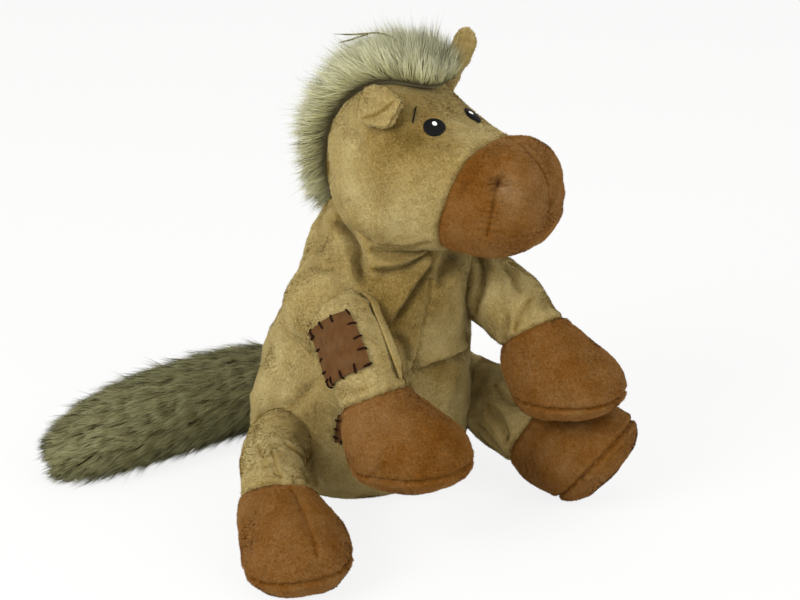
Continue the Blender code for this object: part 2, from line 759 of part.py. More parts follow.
def main():
    """Build the whole toy."""
    clear_scene()
    finishes = {
        "minky": material("minky", paint("#B29662")),
        "hoof": material("hoof_minky", paint("#8C5A28")),
        "suede": material("suede", paint("#7D5030")),
        "mane": material("mane_pile", paint("#A5A582"), 1.0),
        "tail": material("tail_pile", paint("#737355"), 1.0),
        "filling": material("filling", paint("#F0EEE8"), 1.0),
        "pouch": material("pellet_bag", paint("#D8D4C8"), 0.8),
        "eye": material("eye_thread", paint("#16120F"), 0.45),
    }
    limbs = (
        ("arm", "right", -1, ARM_RIGHT_WAY, FORE_RIGHT_WAY, FORE_RIGHT_TOE),
        ("arm", "left", 1, ARM_LEFT_WAY, FORE_LEFT_WAY, FORE_LEFT_TOE),
        ("leg", "right", -1, LEG_RIGHT_WAY, HIND_RIGHT_WAY, HIND_RIGHT_TOE),
        ("leg", "left", 1, LEG_LEFT_WAY, HIND_LEFT_WAY, HIND_LEFT_TOE),
    )
    roots = []
    for kind, side, sign, limb_angles, hoof_angles, toe_angles in limbs:
        if kind == "arm":
            root = trunk_point(SHOULDER_HEIGHT, sign * SHOULDER_BEARING, SHOULDER_OUT)
            radius, length = ARM_RADIUS, ARM_LENGTH
        else:
            root = trunk_point(HIP_HEIGHT, sign * HIP_BEARING, HIP_OUT)
            radius, length = LEG_RADIUS, LEG_LENGTH
        empty = pivot(f"{kind}_{side}_swing", root)
        limb_way = direction(*limb_angles)
        hoof_way = direction(*hoof_angles)
        toe_way = square_to(hoof_way, direction(*toe_angles))
        rings = rest_on(limb_rings(root, radius, length, limb_way, hoof_way, toe_way), 0)
        make_limb(side, kind, root, rings, radius, empty, finishes)
        roots.append((f"{kind}_{side}", root, radius))
        if (kind, side) == ("arm", "right"):
            wrist_row = len(root_tilts) + WRIST_ROW * LIMB_STEPS
            row = len(root_tilts) + (wrist_row - len(root_tilts)) * SLEEVE_PATCH_SHARE
            half_rows = SLEEVE_PATCH_LENGTH / 2 / (ARM_LENGTH / (wrist_row - len(root_tilts)))
            place = (row, math.radians(SLEEVE_PATCH_ANGLE))
            make_patch("sleeve_patch", rings, place, half_rows, SLEEVE_PATCH_WIDTH / 2 / ARM_RADIUS,
                       finishes["suede"], empty)

    tail_root = trunk_point(TAIL_HEIGHT, TAIL_BEARING, 0)
    tail_empty = pivot("tail_swing", tail_root)
    make_tail(finishes, tail_empty, tail_root)
    roots.append(("tail", tail_root, tail_shares[0][2] * TAIL_RADIUS))
    make_trunk(finishes, roots)

    neck_foot = (TRUNK_SWAY, -TRUNK_LEAN, TRUNK_HEIGHT)
    neck_empty = pivot("head_turn", neck_foot)
    neck, neck_middle = make_neck(finishes, neck_empty)
    head_empty = pivot("head_nod", neck_middle, HEAD_HEADING, HEAD_ROLL, neck_empty)
    make_head(finishes, head_empty, neck_middle)


main()
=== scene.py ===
# %% [markdown]
# # A seated plush horse
#
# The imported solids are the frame: they say where every piece sits and how it
# moves. This script sews the visible toy over them. Each skin is a fine grid
# of points, pushed in along its seams and folds, covered with short pile, and
# hung on the body that carries it.

# %% Load the frame
import math

import bpy
import numpy as np
from mathutils import Matrix, Vector, kdtree


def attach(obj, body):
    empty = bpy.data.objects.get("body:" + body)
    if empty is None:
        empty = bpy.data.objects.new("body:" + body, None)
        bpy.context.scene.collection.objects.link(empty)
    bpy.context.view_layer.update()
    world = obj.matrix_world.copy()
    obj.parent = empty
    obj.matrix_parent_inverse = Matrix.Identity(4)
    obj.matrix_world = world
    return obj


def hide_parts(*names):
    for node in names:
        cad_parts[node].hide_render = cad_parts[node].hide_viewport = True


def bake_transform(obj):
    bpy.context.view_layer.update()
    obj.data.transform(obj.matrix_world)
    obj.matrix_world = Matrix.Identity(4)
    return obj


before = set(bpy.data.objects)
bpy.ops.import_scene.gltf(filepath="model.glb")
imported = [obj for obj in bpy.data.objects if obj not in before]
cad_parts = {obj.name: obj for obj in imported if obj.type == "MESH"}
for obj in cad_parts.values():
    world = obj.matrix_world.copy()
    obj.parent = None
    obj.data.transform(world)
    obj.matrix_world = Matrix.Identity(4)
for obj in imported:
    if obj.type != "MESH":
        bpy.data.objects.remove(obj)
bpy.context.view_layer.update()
MM = 0.001

# %% [markdown]
# ## Sizes shared with the solids
#
# The skins lie on the solids, so they start from the same sizes, in
# millimetres, and the same share tables.

# %% Sizes and share tables
TRUNK_HEIGHT, TRUNK_WIDTH, TRUNK_DEPTH = 132, 122, 110
TRUNK_LEAN, TRUNK_SWAY = 19, 7
SHOULDER_HEIGHT, SHOULDER_BEARING = 112, 80
HIP_HEIGHT, HIP_BEARING = 40, 70
ROOT_OUT = 2
ARM_RADIUS, ARM_LENGTH = 17.5, 64
LEG_RADIUS, LEG_LENGTH = 21.5, 52
HOOF_HEIGHT, HOOF_LENGTH, HOOF_WIDTH = 31, 62, 52
TOE_SHIFT, SOLE_THICKNESS = 12, 12
NECK_CENTRE = np.array((7, -19, 142))
HEAD_LENGTH, HEAD_WIDTH, HEAD_HEIGHT = 125, 78, 88
HEAD_FORWARD, HEAD_RISE = 12, 34
HEAD_HEADING, HEAD_ROLL, HEAD_SQUARENESS = 20, 3, 2.4
MUZZLE_SEAM_TILT = 17
TAIL_ROOT = np.array((1.9, 53.6, 24))
TAIL_RADIUS, TAIL_LENGTH = 23, 150

trunk_shares = (
    (0.00, 0.66, 0.66, 0.00),
    (0.06, 0.84, 0.84, 0.00),
    (0.17, 0.97, 0.97, 0.00),
    (0.33, 1.00, 1.00, 0.05),
    (0.52, 0.94, 0.94, 0.22),
    (0.70, 0.84, 0.86, 0.48),
    (0.84, 0.76, 0.80, 0.72),
    (0.93, 0.67, 0.72, 0.88),
    (0.98, 0.59, 0.64, 0.97),
    (1.03, 0.53, 0.58, 1.00),
    (1.09, 0.52, 0.57, 1.00),
    (1.15, 0.46, 0.50, 1.00),
)
head_shares = (
    (0.000, 0.02, 0.00, 0.00, 0.0),
    (0.030, 0.02, 0.40, 0.40, 0.0),
    (0.110, 0.01, 0.72, 0.73, 0.0),
    (0.220, 0.00, 0.92, 0.93, 0.0),
    (0.355, -0.005, 1.00, 0.98, 0.2),
    (0.475, -0.050, 0.96, 0.83, 0.6),
    (0.575, -0.08, 0.86, 0.74, 0.9),
    (0.660, -0.075, 0.76, 0.67, 1.0),
    (0.745, -0.065, 0.77, 0.69, 0.8),
    (0.835, -0.06, 0.73, 0.65, 0.4),
    (0.915, -0.05, 0.60, 0.54, 0.1),
    (0.970, -0.04, 0.38, 0.35, 0.0),
    (1.000, -0.04, 0.00, 0.00, 0.0),
)
SKULL_ROW, MUZZLE_ROW = 4, 7
limb_shares = (
    (0.00, 0.00, 0.00, 0.00, 1.00, 0.00, 0.00),
    (0.25, 0.00, 0.00, 0.00, 1.05, 0.00, 0.00),
    (0.50, 0.01, 0.00, 0.00, 1.05, 0.00, 0.08),
    (0.71, 0.05, 0.00, 0.00, 1.00, 0.00, 0.26),
    (0.87, 0.15, 0.00, 0.02, 0.96, 0.00, 0.50),
    (0.96, 0.36, 0.00, 0.32, 0.48, 0.50, 0.76),
    (1.00, 0.66, 0.00, 0.78, 0.04, 0.94, 0.97),
    (1.00, 1.00, 0.00, 1.00, 0.00, 0.95, 1.00),
    (1.00, 1.00, 0.50, 1.00, 0.00, 0.86, 1.00),
    (1.00, 1.00, 0.88, 1.00, 0.00, 0.58, 1.00),
    (1.00, 1.00, 1.00, 1.00, 0.00, 0.00, 1.00),
)
WRIST_ROW, SOLE_ROW = 4, 7
limb_ways = {
    "arm_right": ((3, 30), (4, 83), (44, 0)),
    "arm_left": ((2, 15), (11, 85), (38, 10)),
    "leg_right": ((-37, 1), (5, 77), (-8, 0)),
    "leg_left": ((4, 8), (31, 37), (33, -55)),
}
# Girths and sideways shifts that fit each limb to its look, at these shares of its length.
LOOK_SHARES = (0.0, 0.12, 0.25, 0.50, 0.71, 0.87, 1.0)
limb_girths = {
    "arm_right": (0.80, 0.95, 1.02, 1.02, 1.00, 1.00, 1.00),
    "arm_left": (0.93, 0.95, 0.97, 1.00, 1.00, 1.00, 1.00),
    "leg_right": (0.80, 0.75, 0.70, 0.68, 0.74, 0.84, 1.00),
    "leg_left": (0.80, 0.84, 0.88, 0.92, 0.96, 1.00, 1.00),
}
limb_shifts = {
    "arm_right": (4, 6.5, 7.5, 4.5, 2, 0, 0),
    "arm_left": (0,) * len(LOOK_SHARES),
    "leg_right": (-4.5, -5.5, -6.5, -6.5, -4.5, -2, 0),
    "leg_left": (0,) * len(LOOK_SHARES),
}
tail_shares = (
    (0.00, 0.00, 0.72, 1.00),
    (0.03, 0.10, 0.86, 0.70),
    (0.15, 0.17, 1.00, 0.20),
    (0.35, 0.175, 1.05, 0.00),
    (0.57, 0.16, 1.04, 0.00),
    (0.78, 0.155, 0.92, 0.00),
    (0.92, 0.16, 0.66, 0.15),
    (0.975, 0.165, 0.34, 0.50),
    (0.99, 0.17, 0.00, 0.62),
)

# %% [markdown]
# ## Grids of points
#
# A skin is a stack of rings, so its points form a grid of rows and sides.
# `smooth_rows` draws a smooth curve through a share table, `ring` places one
# closed row, and `outward` finds which way each point of the grid faces.

# %% Helpers for grids
def direction(heading, drop):
    """Unit vector; heading turns from straight ahead to the horse's left."""
    turn, fall = math.radians(heading), math.radians(drop)
    return np.array((math.sin(turn) * math.cos(fall), -math.cos(turn) * math.cos(fall), -math.sin(fall)))


def unit(vectors):
    """Vectors at length one."""
    lengths = np.linalg.norm(vectors, axis=-1, keepdims=True)
    return vectors / np.where(lengths == 0, 1, lengths)


def smooth_rows(table, steps):
    """Rows on a smooth curve through a table, with steps between its rows."""
    rows = np.array(table, dtype=float)
    rows = np.vstack((2 * rows[0] - rows[1], rows, 2 * rows[-1] - rows[-2]))
    t = (np.arange(steps) / steps)[:, None]
    parts = []
    for a, b, c, d in zip(rows, rows[1:], rows[2:], rows[3:]):
        bend = (2 * a - 5 * b + 4 * c - d) * t**2 + (3 * b - a - 3 * c + d) * t**3
        parts.append(0.5 * (2 * b + (c - a) * t + bend))
    parts.append(rows[-2][None])
    return np.vstack(parts)


def ring(centre, across, deep, sides, squareness=2.0):
    """One closed row of points, from its two half axes."""
    angles = np.arange(sides) * (2 * math.pi / sides)
    first, second = np.cos(angles), np.sin(angles)
    reach = (np.abs(first) ** squareness + np.abs(second) ** squareness) ** (-1 / squareness)
    return centre + np.outer(first * reach, across) + np.outer(second * reach, deep)


def outward(grid):
    """Outward directions at every point of a grid."""
    around = np.roll(grid, -1, axis=1) - np.roll(grid, 1, axis=1)
    along = np.gradient(grid, axis=0)
    normals = unit(np.cross(around, along))
    middle = len(grid) // 2
    if np.sum((grid[middle] - grid[middle].mean(axis=0)) * normals[middle]) < 0:
        normals = -normals
    for end, inner in ((0, 1), (-1, -2)):
        if np.ptp(grid[end], axis=0).max() < 1e-9:
            normals[end] = unit(normals[inner].mean(axis=0))
    return normals


def outward_at(grid, places, nearby=30):
    """Outward directions of a skin at places, each the mean over some points nearby."""
    points, normals = grid.reshape(-1, 3), outward(grid).reshape(-1, 3)
    outs = []
    for place in places.reshape(-1, 3):
        nearest = np.argsort(np.linalg.norm(points - place, axis=1))[:nearby]
        outs.append(unit(normals[nearest].mean(axis=0)))
    return np.array(outs).reshape(places.shape)


# %% [markdown]
# ## How cloth is pushed in and out
#
# A stuffed skin is never smooth: its filling is lumpy, its seams draw it in
# and it folds where it is pressed. Each of these is a distance along the
# skin's outward way, measured from a line on the skin. A cloth simulation
# would find folds of its own; these have to lie where the photograph has
# them, so they are drawn.

# %% Folds, seams and flaps
FADE_RATE, FADE_POWER = 5, 0.7
# In widths of the line: where a fold's lips lie, and how wide lips, flaps and puckers are.
LIP_PLACE, LIP_WIDTH, FLAP_WIDTH, PUCKER_WIDTH = 2.1, 1.3, 1.8, 4
# In depths of the line: how high lips and flaps stand.
LIP_HEIGHT, FLAP_HEIGHT = 0.4, 0.45
FLAP_EDGE = 0.35


def ripple(points, size, seed, waves=14):
    """A smooth random field, about 1 high, with bumps of about the given size."""
    rng = np.random.default_rng(seed)
    ways = unit(rng.normal(size=(waves, 3)))
    rates = 2 * math.pi / size * rng.uniform(0.6, 1.4, waves)
    phases = rng.uniform(0, 2 * math.pi, waves)
    return np.sin(points @ (ways * rates[:, None]).T + phases).sum(axis=-1) / math.sqrt(waves / 2)


def line_distance(points, line):
    """Distance from every point to a line of points, and the share along it."""
    shape = points.shape[:-1]
    flat = points.reshape(-1, 3)
    line = smooth_rows(line, 6)
    nearest = np.full(len(flat), np.inf)
    share = np.zeros(len(flat))
    for index, (a, b) in enumerate(zip(line, line[1:])):
        run = b - a
        t = np.clip((flat - a) @ run / (run @ run), 0, 1)
        gap = np.linalg.norm(flat - a - t[:, None] * run, axis=1)
        closer = gap < nearest
        nearest = np.where(closer, gap, nearest)
        share = np.where(closer, (index + t) / (len(line) - 1), share)
    return nearest.reshape(shape), share.reshape(shape)


def fade_ends(share):
    """Strength along a line: none at its two ends, full between them."""
    return np.clip(np.minimum(share, 1 - share) * FADE_RATE, 0, 1) ** FADE_POWER


def fold(points, line, depth, width):
    """How far a fold pushes the points out: a valley between two soft lips."""
    gap, share = line_distance(points, line)
    valley = np.exp(-((gap / width) ** 2))
    lips = np.exp(-(((gap - LIP_PLACE * width) / (LIP_WIDTH * width)) ** 2))
    return depth * fade_ends(share) * (LIP_HEIGHT * lips - valley)


def pleat(points, normals, line, depth, width):
    """How far a flap pushes the points out: raised on one side of a line only."""
    line = smooth_rows(line, 6)
    ways = unit(np.gradient(line, axis=0))
    gap, share = line_distance(points, line[::6])
    near = np.clip((share * (len(line) - 1)).round().astype(int), 0, len(line) - 1)
    side = np.sum((points - line[near]) * np.cross(ways[near], normals), axis=-1)
    raised = 1 / (1 + np.exp(np.clip(-side / FLAP_EDGE, -30, 30)))
    flap = FLAP_HEIGHT * np.exp(-((gap / (FLAP_WIDTH * width)) ** 2))
    valley = -np.exp(-((gap / width) ** 2))
    return depth * fade_ends(share) * (raised * flap + (1 - raised) * valley)


def seam(points, line, depth, width, pucker, spacing):
    """How far a sewn seam pushes the points out, with puckers beside it."""
    gap, share = line_distance(points, line)
    length = np.linalg.norm(np.diff(np.array(line, dtype=float), axis=0), axis=1).sum()
    near = np.exp(-((gap / (PUCKER_WIDTH * width)) ** 2))
    wave = np.sin(share * length / spacing * 2 * math.pi) * near
    return -depth * np.exp(-((gap / width) ** 2)) + pucker * wave * np.minimum(gap / width, 1)


# %% [markdown]
# ## The camera that took the photograph
#
# Seams and folds were noted as pixels of the photograph. The camera is set
# first, because a pixel becomes a place on the toy by following the camera's
# ray to the skin behind it.

# %% Photograph camera
CAMERA_TURN, CAMERA_RISE = -35.0, 22.0
CAMERA_FAR, FOCAL_PIXELS = 850.0, 1545.0
PICTURE = np.array((800, 600))
ORIGIN_PIXEL = np.array((362.0, 464.5))
# A pixel takes the nearest point within PIXEL_SLACK; LEAST_SLOPE and FARTHEST keep it on that skin.
PIXEL_SLACK, LEAST_SLOPE, FARTHEST = 2.0, 0.25, 4

view_back = direction(CAMERA_TURN, -CAMERA_RISE)
view_right = unit(np.cross(-view_back, (0, 0, 1)))
view_up = np.cross(view_right, -view_back)
pixel_size = CAMERA_FAR / FOCAL_PIXELS
shift = (PICTURE / 2 - ORIGIN_PIXEL) * pixel_size
camera_place = view_back * CAMERA_FAR + view_right * shift[0] - view_up * shift[1]

lens = bpy.data.cameras.new("photograph")
lens.lens = FOCAL_PIXELS / PICTURE[0] * lens.sensor_width
camera = bpy.data.objects.new("photograph", lens)
axes = np.column_stack((view_right, view_up, view_back, camera_place * MM))
camera.matrix_world = Matrix([*axes.tolist(), (0, 0, 0, 1)])
bpy.context.scene.collection.objects.link(camera)
bpy.context.scene.camera = camera


def seen_at(points):
    """Photograph pixel of every point."""
    offset = points - camera_place
    far = offset @ -view_back
    across = FOCAL_PIXELS * (offset @ view_right) / far
    down = -FOCAL_PIXELS * (offset @ view_up) / far
    return np.stack((across, down), axis=-1) + PICTURE / 2


def on_skin(grid, pixels):
    """Places on a skin behind photograph pixels."""
    points = grid.reshape(-1, 3)
    normals = outward(grid).reshape(-1, 3)
    front = np.sum((camera_place - points) * normals, axis=1) > 0
    points, normals = points[front], normals[front]
    seen = seen_at(points)
    near = np.linalg.norm(points - camera_place, axis=1)
    places = []
    for pixel in np.array(pixels, dtype=float):
        miss = np.linalg.norm(seen - pixel, axis=1)
        close = miss < miss.min() + PIXEL_SLACK
        pick = np.flatnonzero(close)[np.argmin(near[close])]
        across, down = pixel - PICTURE / 2
        ray = unit(-view_back + (view_right * across - view_up * down) / FOCAL_PIXELS)
        slope = ray @ normals[pick]
        reach = (points[pick] - camera_place) @ normals[pick] / min(slope, -LEAST_SLOPE)
        place = camera_place + ray * reach
        places.append(place if np.linalg.norm(place - points[pick]) < FARTHEST else points[pick])
    return np.array(places)


def laid(grid, table):
    """Rows of depth, width and pixels, with the pixels laid on a skin as a line."""
    return [(depth, width, on_skin(grid, pixels)) for depth, width, pixels in table]


print("camera at", np.round(camera_place, 1), "lens", round(lens.lens, 1))

# %% [markdown]
# ## Fabrics
#
# Short pile is a woven ground with cut threads that stand up and bend the
# light at their tips: dark between the threads, pale where they lean into
# the light. Each material reads two values that the meshes carry: `tone`,
# which differs from tuft to tuft and carries painted light and shade, and
# `tip`, which runs from root to tip; its dark root colour is painted shade.

# %% Colour and node helpers
def linear(hex_colour):
    """An sRGB hex colour as the linear numbers that a shader takes."""
    values = [int(hex_colour[i:i + 2], 16) / 255 for i in (1, 3, 5)]
    return (*(v / 12.92 if v <= 0.04045 else ((v + 0.055) / 1.055) ** 2.4 for v in values), 1.0)


def add_node(tree, kind, links=None, **settings):
    """Add a node, set its properties and inputs, and link its inputs."""
    node = tree.nodes.new(kind)
    for name, value in settings.items():
        setattr(node, name, value)
    for socket, value in (links or {}).items():
        if isinstance(value, bpy.types.NodeSocket):
            tree.links.new(value, node.inputs[socket])
        else:
            node.inputs[socket].default_value = value
    return node


# Hands have stroked the nap in clouds about 22 mm across. The rest are shares of tone.
CLOUD_MM, CLOUD_AMOUNT = 22, 0.4
TONE_SPREAD, DARKEST, PALEST = 1.2, 0.28, 1.72


def cut_pile(name, root, body, tip, roughness, sheen, grain_mm, bump_mm, contrast=1.6, gloss=0.2):
    """Cut pile fabric: root, body and tip colours, with a fine grain."""
    made = bpy.data.materials.new(name)
    made.use_nodes = True
    tree = made.node_tree
    shader = tree.nodes["Principled BSDF"]
    place = add_node(tree, "ShaderNodeTexCoord").outputs["Object"]
    tone = add_node(tree, "ShaderNodeAttribute", attribute_name="tone").outputs["Fac"]
    share = add_node(tree, "ShaderNodeAttribute", attribute_name="tip").outputs["Fac"]
    grain = add_node(tree, "ShaderNodeTexNoise", {
        "Vector": place, "Scale": 1000 / grain_mm, "Detail": 3.0, "Roughness": 0.6}).outputs["Fac"]
    cloud = add_node(tree, "ShaderNodeTexNoise", {
        "Vector": place, "Scale": 1000 / CLOUD_MM, "Detail": 2.0}).outputs["Fac"]
    # The colour runs from root to tip; the dark root colour is painted shade deep between the threads.
    ramp = add_node(tree, "ShaderNodeValToRGB", {"Fac": share})
    ramp.color_ramp.elements[0].color = linear(root)
    ramp.color_ramp.elements[1].color = linear(tip)
    middle = ramp.color_ramp.elements.new(0.5)
    middle.color = linear(body)
    mixed = tone
    for pattern, amount in ((cloud, CLOUD_AMOUNT), (grain, contrast)):
        mixed = add_node(tree, "ShaderNodeMath", {0: pattern, 1: amount, 2: mixed},
                         operation="MULTIPLY_ADD").outputs[0]
    usual = 0.5 + CLOUD_AMOUNT * 0.5 + contrast * 0.5
    level = add_node(tree, "ShaderNodeMapRange", {
        "Value": mixed, "From Min": usual - TONE_SPREAD, "From Max": usual + TONE_SPREAD,
        "To Min": DARKEST, "To Max": PALEST}).outputs[0]
    # Darker tone is drawn deeper and redder than pale tone, as shade looks on this plush; it colours the
    # painted shade as well as the darker tufts.
    depth_of_colour = add_node(tree, "ShaderNodeMapRange", {
        "Value": level, "From Min": 0.5, "From Max": 1.5, "To Min": 1.22, "To Max": 0.82}).outputs[0]
    hue = add_node(tree, "ShaderNodeMapRange", {
        "Value": level, "From Min": 0.6, "From Max": 1.4, "To Min": 0.484, "To Max": 0.507}).outputs[0]
    colour = add_node(tree, "ShaderNodeHueSaturation", {
        "Hue": hue, "Value": level, "Saturation": depth_of_colour, "Color": ramp.outputs["Color"]})
    tree.links.new(colour.outputs["Color"], shader.inputs["Base Color"])
    bump = add_node(tree, "ShaderNodeBump", {
        "Height": grain, "Strength": 0.6, "Distance": bump_mm * MM})
    tree.links.new(bump.outputs["Normal"], shader.inputs["Normal"])
    shader.inputs["Roughness"].default_value = roughness
    shader.inputs["Specular IOR Level"].default_value = gloss
    shader.inputs["Sheen Weight"].default_value = sheen
    shader.inputs["Sheen Roughness"].default_value = 0.45
    shader.inputs["Sheen Tint"].default_value = linear(tip)
    return made


# %% [markdown]
# The toy needs few fabrics: one plush in two colours, a long pile in two
# shades, suede, and three threads. They differ in how light their tips are,
# how much they shine and how coarse their grain is.

# %% The toy's fabrics
# Knitted and sheared short: matt, with pale rims where the pile leans into the light.
tan_minky = cut_pile("tan_minky", "#5E4C2A", "#A28F59", "#C2B480", 0.9, 0.8, 1.0, 0.3)
# The same cloth dyed rust, a little denser; its darker root colour is painted shade between its tufts.
rust_minky = cut_pile("rust_minky", "#4A2C10", "#785324", "#926A34", 0.9, 0.7, 0.9, 0.25, 1.3)
# Long pile, brushed: pale at the tips, with its dark ground colour painted shade, which gives it depth.
mane_pile = cut_pile("mane_long_pile", "#3B341B", "#A5A170", "#E4E4C0", 0.8, 0.4, 0.6, 0.1, 0.8)
tail_pile = cut_pile("tail_long_pile", "#38311C", "#67613E", "#9FA074", 0.8, 0.35, 0.6, 0.1, 1.0)
# Split hide with its nap rubbed flat: matt and mottled, without a pale rim.
brown_suede = cut_pile("brown_suede", "#3C260E", "#583C1D", "#634422", 0.9, 0.10, 0.6, 0.12, 0.9)
# Twisted embroidery thread, laid side by side: smooth enough for a small highlight.
black_thread = cut_pile("black_embroidery_thread",
                        "#050505", "#080808", "#0C0B0B", 0.6, 0.0, 0.3, 0.05, 0.6, 0.12)
white_thread = cut_pile("white_embroidery_thread",
                        "#C9C6BE", "#F4F2EC", "#FFFFFF", 0.5, 0.1, 0.3, 0.05, 0.3)
brown_thread = cut_pile("dark_brown_thread", "#100806", "#20120C", "#2E1E16", 0.8, 0.0, 0.3, 0.05, 0.6, 0.05)
print("fabrics", [made.name for made in bpy.data.materials])

# %% [markdown]
# ## Painted light and shade in the nap
#
# Light and shade are painted into the nap's tone: pale spots of painted light,
# dark spots of painted shade, and painted shade along seams, where the pile
# parts, and along creases, folds and pits. The pile has no picture to paint on,
# so they are noted as places instead, and every point of a skin takes its tone
# from the ones near it.

# %% Tone of the nap
NAP_CLOUD, NAP_SPECK = 14, 3
MARK_STEP = 0.5
painted_light_and_shade_spots = []


def paint_light_and_shade(grid, pixel, radius, amount):
    """Note a spot behind a pixel where the nap is painted paler with light, or darker with shade."""
    painted_light_and_shade_spots.append((on_skin(grid, [pixel])[0], radius, amount))


painted_shade_marks = []


def paint_shade_line(line, amount, width, closed=False):
    """Note a line of places where shade is painted into the nap, along a seam, crease, fold or pit."""
    line = np.vstack((line, line[:1])) if closed else smooth_rows(line, 6)
    steps = np.linalg.norm(np.diff(line, axis=0), axis=1)
    length = np.concatenate(((0,), np.cumsum(steps)))
    spots = np.arange(0, length[-1], MARK_STEP)
    places = np.column_stack([np.interp(spots, length, line[:, axis]) for axis in range(3)])
    painted_shade_marks.extend((place, amount, width) for place in places)


def nap_tone(points):
    """Tone of the pile at places: cloudy at random, with spots of painted light and shade and lines of
    painted shade.
    """
    tone = 0.5 + 0.07 * ripple(points, NAP_CLOUD, 5) + 0.05 * ripple(points, NAP_SPECK, 6)
    tree = kdtree.KDTree(len(painted_shade_marks))
    for number, (place, _, _) in enumerate(painted_shade_marks):
        tree.insert(place, number)
    tree.balance()
    if painted_shade_marks:
        found = [tree.find(place)[1:] for place in points]
        marks = np.array([painted_shade_marks[number][1:] for number, _ in found])
        gaps = np.array([gap for _, gap in found])
        tone = tone - marks[:, 0] * np.exp(-((gaps / marks[:, 1]) ** 2))
    for place, radius, amount in painted_light_and_shade_spots:
        tone = tone + amount * np.exp(-(np.linalg.norm(points - place, axis=1) / radius) ** 2)
    return tone


# %% [markdown]
# ## Sewing a grid into a mesh
#
# A grid becomes a mesh of quads, closed at both ends. The mesh carries `tone`
# and `tip` for its fabric.

# %% Meshes and closed skins
# The ground of plush is painted a little darker than the middle of its pile, as shade among the blades.
GROUND_SHARE = 0.42


def build_mesh(name, points, faces, finish, normals=None, **values):
    """A mesh object in metres with smooth faces and named point values."""
    mesh = bpy.data.meshes.new(name)
    mesh.from_pydata(points * MM, [], faces)
    mesh.shade_smooth()
    for value_name, numbers in values.items():
        layer = mesh.attributes.new(value_name, "FLOAT", "POINT")
        layer.data.foreach_set("value", np.asarray(numbers, dtype=np.float32))
    if normals is not None:
        mesh.normals_split_custom_set_from_vertices(normals)
    mesh.materials.append(finish)
    made = bpy.data.objects.new(name, mesh)
    bpy.context.scene.collection.objects.link(made)
    return made


def sew(name, grid, finish, share=0.5):
    """A closed skin over a grid; ends that aren't a point get a middle."""
    rows, sides = grid.shape[:2]
    index = np.arange(rows * sides).reshape(rows, sides)
    nxt = np.roll(index, -1, axis=1)
    quads = np.stack((index[:-1], nxt[:-1], nxt[1:], index[1:]), axis=-1).reshape(-1, 4)
    ends = grid[[0, -1]].mean(axis=1)
    points = np.vstack((grid.reshape(-1, 3), ends))
    first = [(rows * sides, b, a) for a, b in zip(index[0], nxt[0])]
    last = [(rows * sides + 1, a, b) for a, b in zip(index[-1], nxt[-1])]
    made = build_mesh(name, points, quads.tolist() + first + last, finish, tone=nap_tone(points),
                      tip=np.full(len(points), share))
    turn_outward(made, grid)
    return made


def turn_outward(made, grid):
    """Flip a closed skin if its faces look inward."""
    mesh = made.data
    areas = np.empty(len(mesh.polygons) * 3)
    mesh.polygons.foreach_get("normal", areas)
    centres = np.empty(len(mesh.polygons) * 3)
    mesh.polygons.foreach_get("center", centres)
    areas, centres = areas.reshape(-1, 3), centres.reshape(-1, 3) / MM
    if np.sum((centres - grid.mean(axis=(0, 1))) * areas) < 0:
        mesh.flip_normals()


# %% [markdown]
# A brush of blades is what tells plush from felt: real pile hides its ground.
# One triangle to a tuft is enough at this distance, so each blade stands for
# several threads and is drawn a little coarser than they are. The blades take
# the skin's own normals, so light falls on them as on cloth, and only their
# tips break the outline.

# %% Short pile
BLADE_DENSITY, BLADE_WIDTH, ROOT_DEPTH = 3.2, 0.42, 0.15
SWIRL_SIZE = 22
MOST_BLADES, QUICK_SHARE = 190000, 0.35


def scatter(grid, count, seed):
    """Random places on a grid, spread evenly by area, with their normals."""
    rng = np.random.default_rng(seed)
    normals = outward(grid)
    shifted = np.roll(grid, -1, axis=1)
    across = shifted[:-1] - grid[:-1]
    along = grid[1:] - grid[:-1]
    areas = np.linalg.norm(np.cross(across, along), axis=-1).ravel()
    cells = rng.choice(len(areas), count, p=areas / areas.sum())
    row, side = np.divmod(cells, grid.shape[1])
    u, v = rng.random((2, count, 1))
    following = (side + 1) % grid.shape[1]
    mixed = []
    for field in (grid, normals):
        low = field[row, side] * (1 - u) + field[row, following] * u
        high = field[row + 1, side] * (1 - u) + field[row + 1, following] * u
        mixed.append(low * (1 - v) + high * v)
    return mixed[0], unit(mixed[1]), areas.sum(), rng


def grow_pile(name, grid, finish, lean, seed, length=1.25, keep=None):
    """Short cut pile: single tapered blades that lean along the nap."""
    area = scatter(grid, 1, seed)[2]
    count = int(min(area * BLADE_DENSITY * (1), MOST_BLADES))
    roots, normals, _, rng = scatter(grid, count, seed)
    if keep is not None:
        kept = keep(roots)
        roots, normals = roots[kept], normals[kept]
        count = len(roots)
    swirl = np.stack([ripple(roots, SWIRL_SIZE, seed + i, 8) for i in range(3)], axis=1)
    way = np.array(lean, dtype=float) + 0.5 * swirl + 0.4 * rng.normal(size=(count, 3))
    way = unit(way - np.sum(way * normals, axis=1, keepdims=True) * normals)
    stand = unit(0.55 * normals + way * rng.uniform(0.5, 1.0, (count, 1)))
    side = unit(np.cross(stand, normals + 0.2 * rng.normal(size=(count, 3))))
    side *= np.where(np.sum(np.cross(side, stand) * normals, axis=1, keepdims=True) > 0, 1, -1)
    reach = length * rng.uniform(0.65, 1.15, (count, 1))
    half = BLADE_WIDTH * rng.uniform(0.35, 0.6, (count, 1))
    base = roots - normals * ROOT_DEPTH
    points = np.stack((base - side * half, base + side * half, roots + stand * reach), axis=1)
    tone = nap_tone(roots) + 0.2 * rng.normal(size=count)
    faces = np.arange(count * 3).reshape(-1, 3).tolist()
    return build_mesh(name, points.reshape(-1, 3), faces, finish, normals=np.repeat(normals, 3, axis=0),
                      tone=np.repeat(tone, 3), tip=np.tile((0.40, 0.40, 0.66), count))
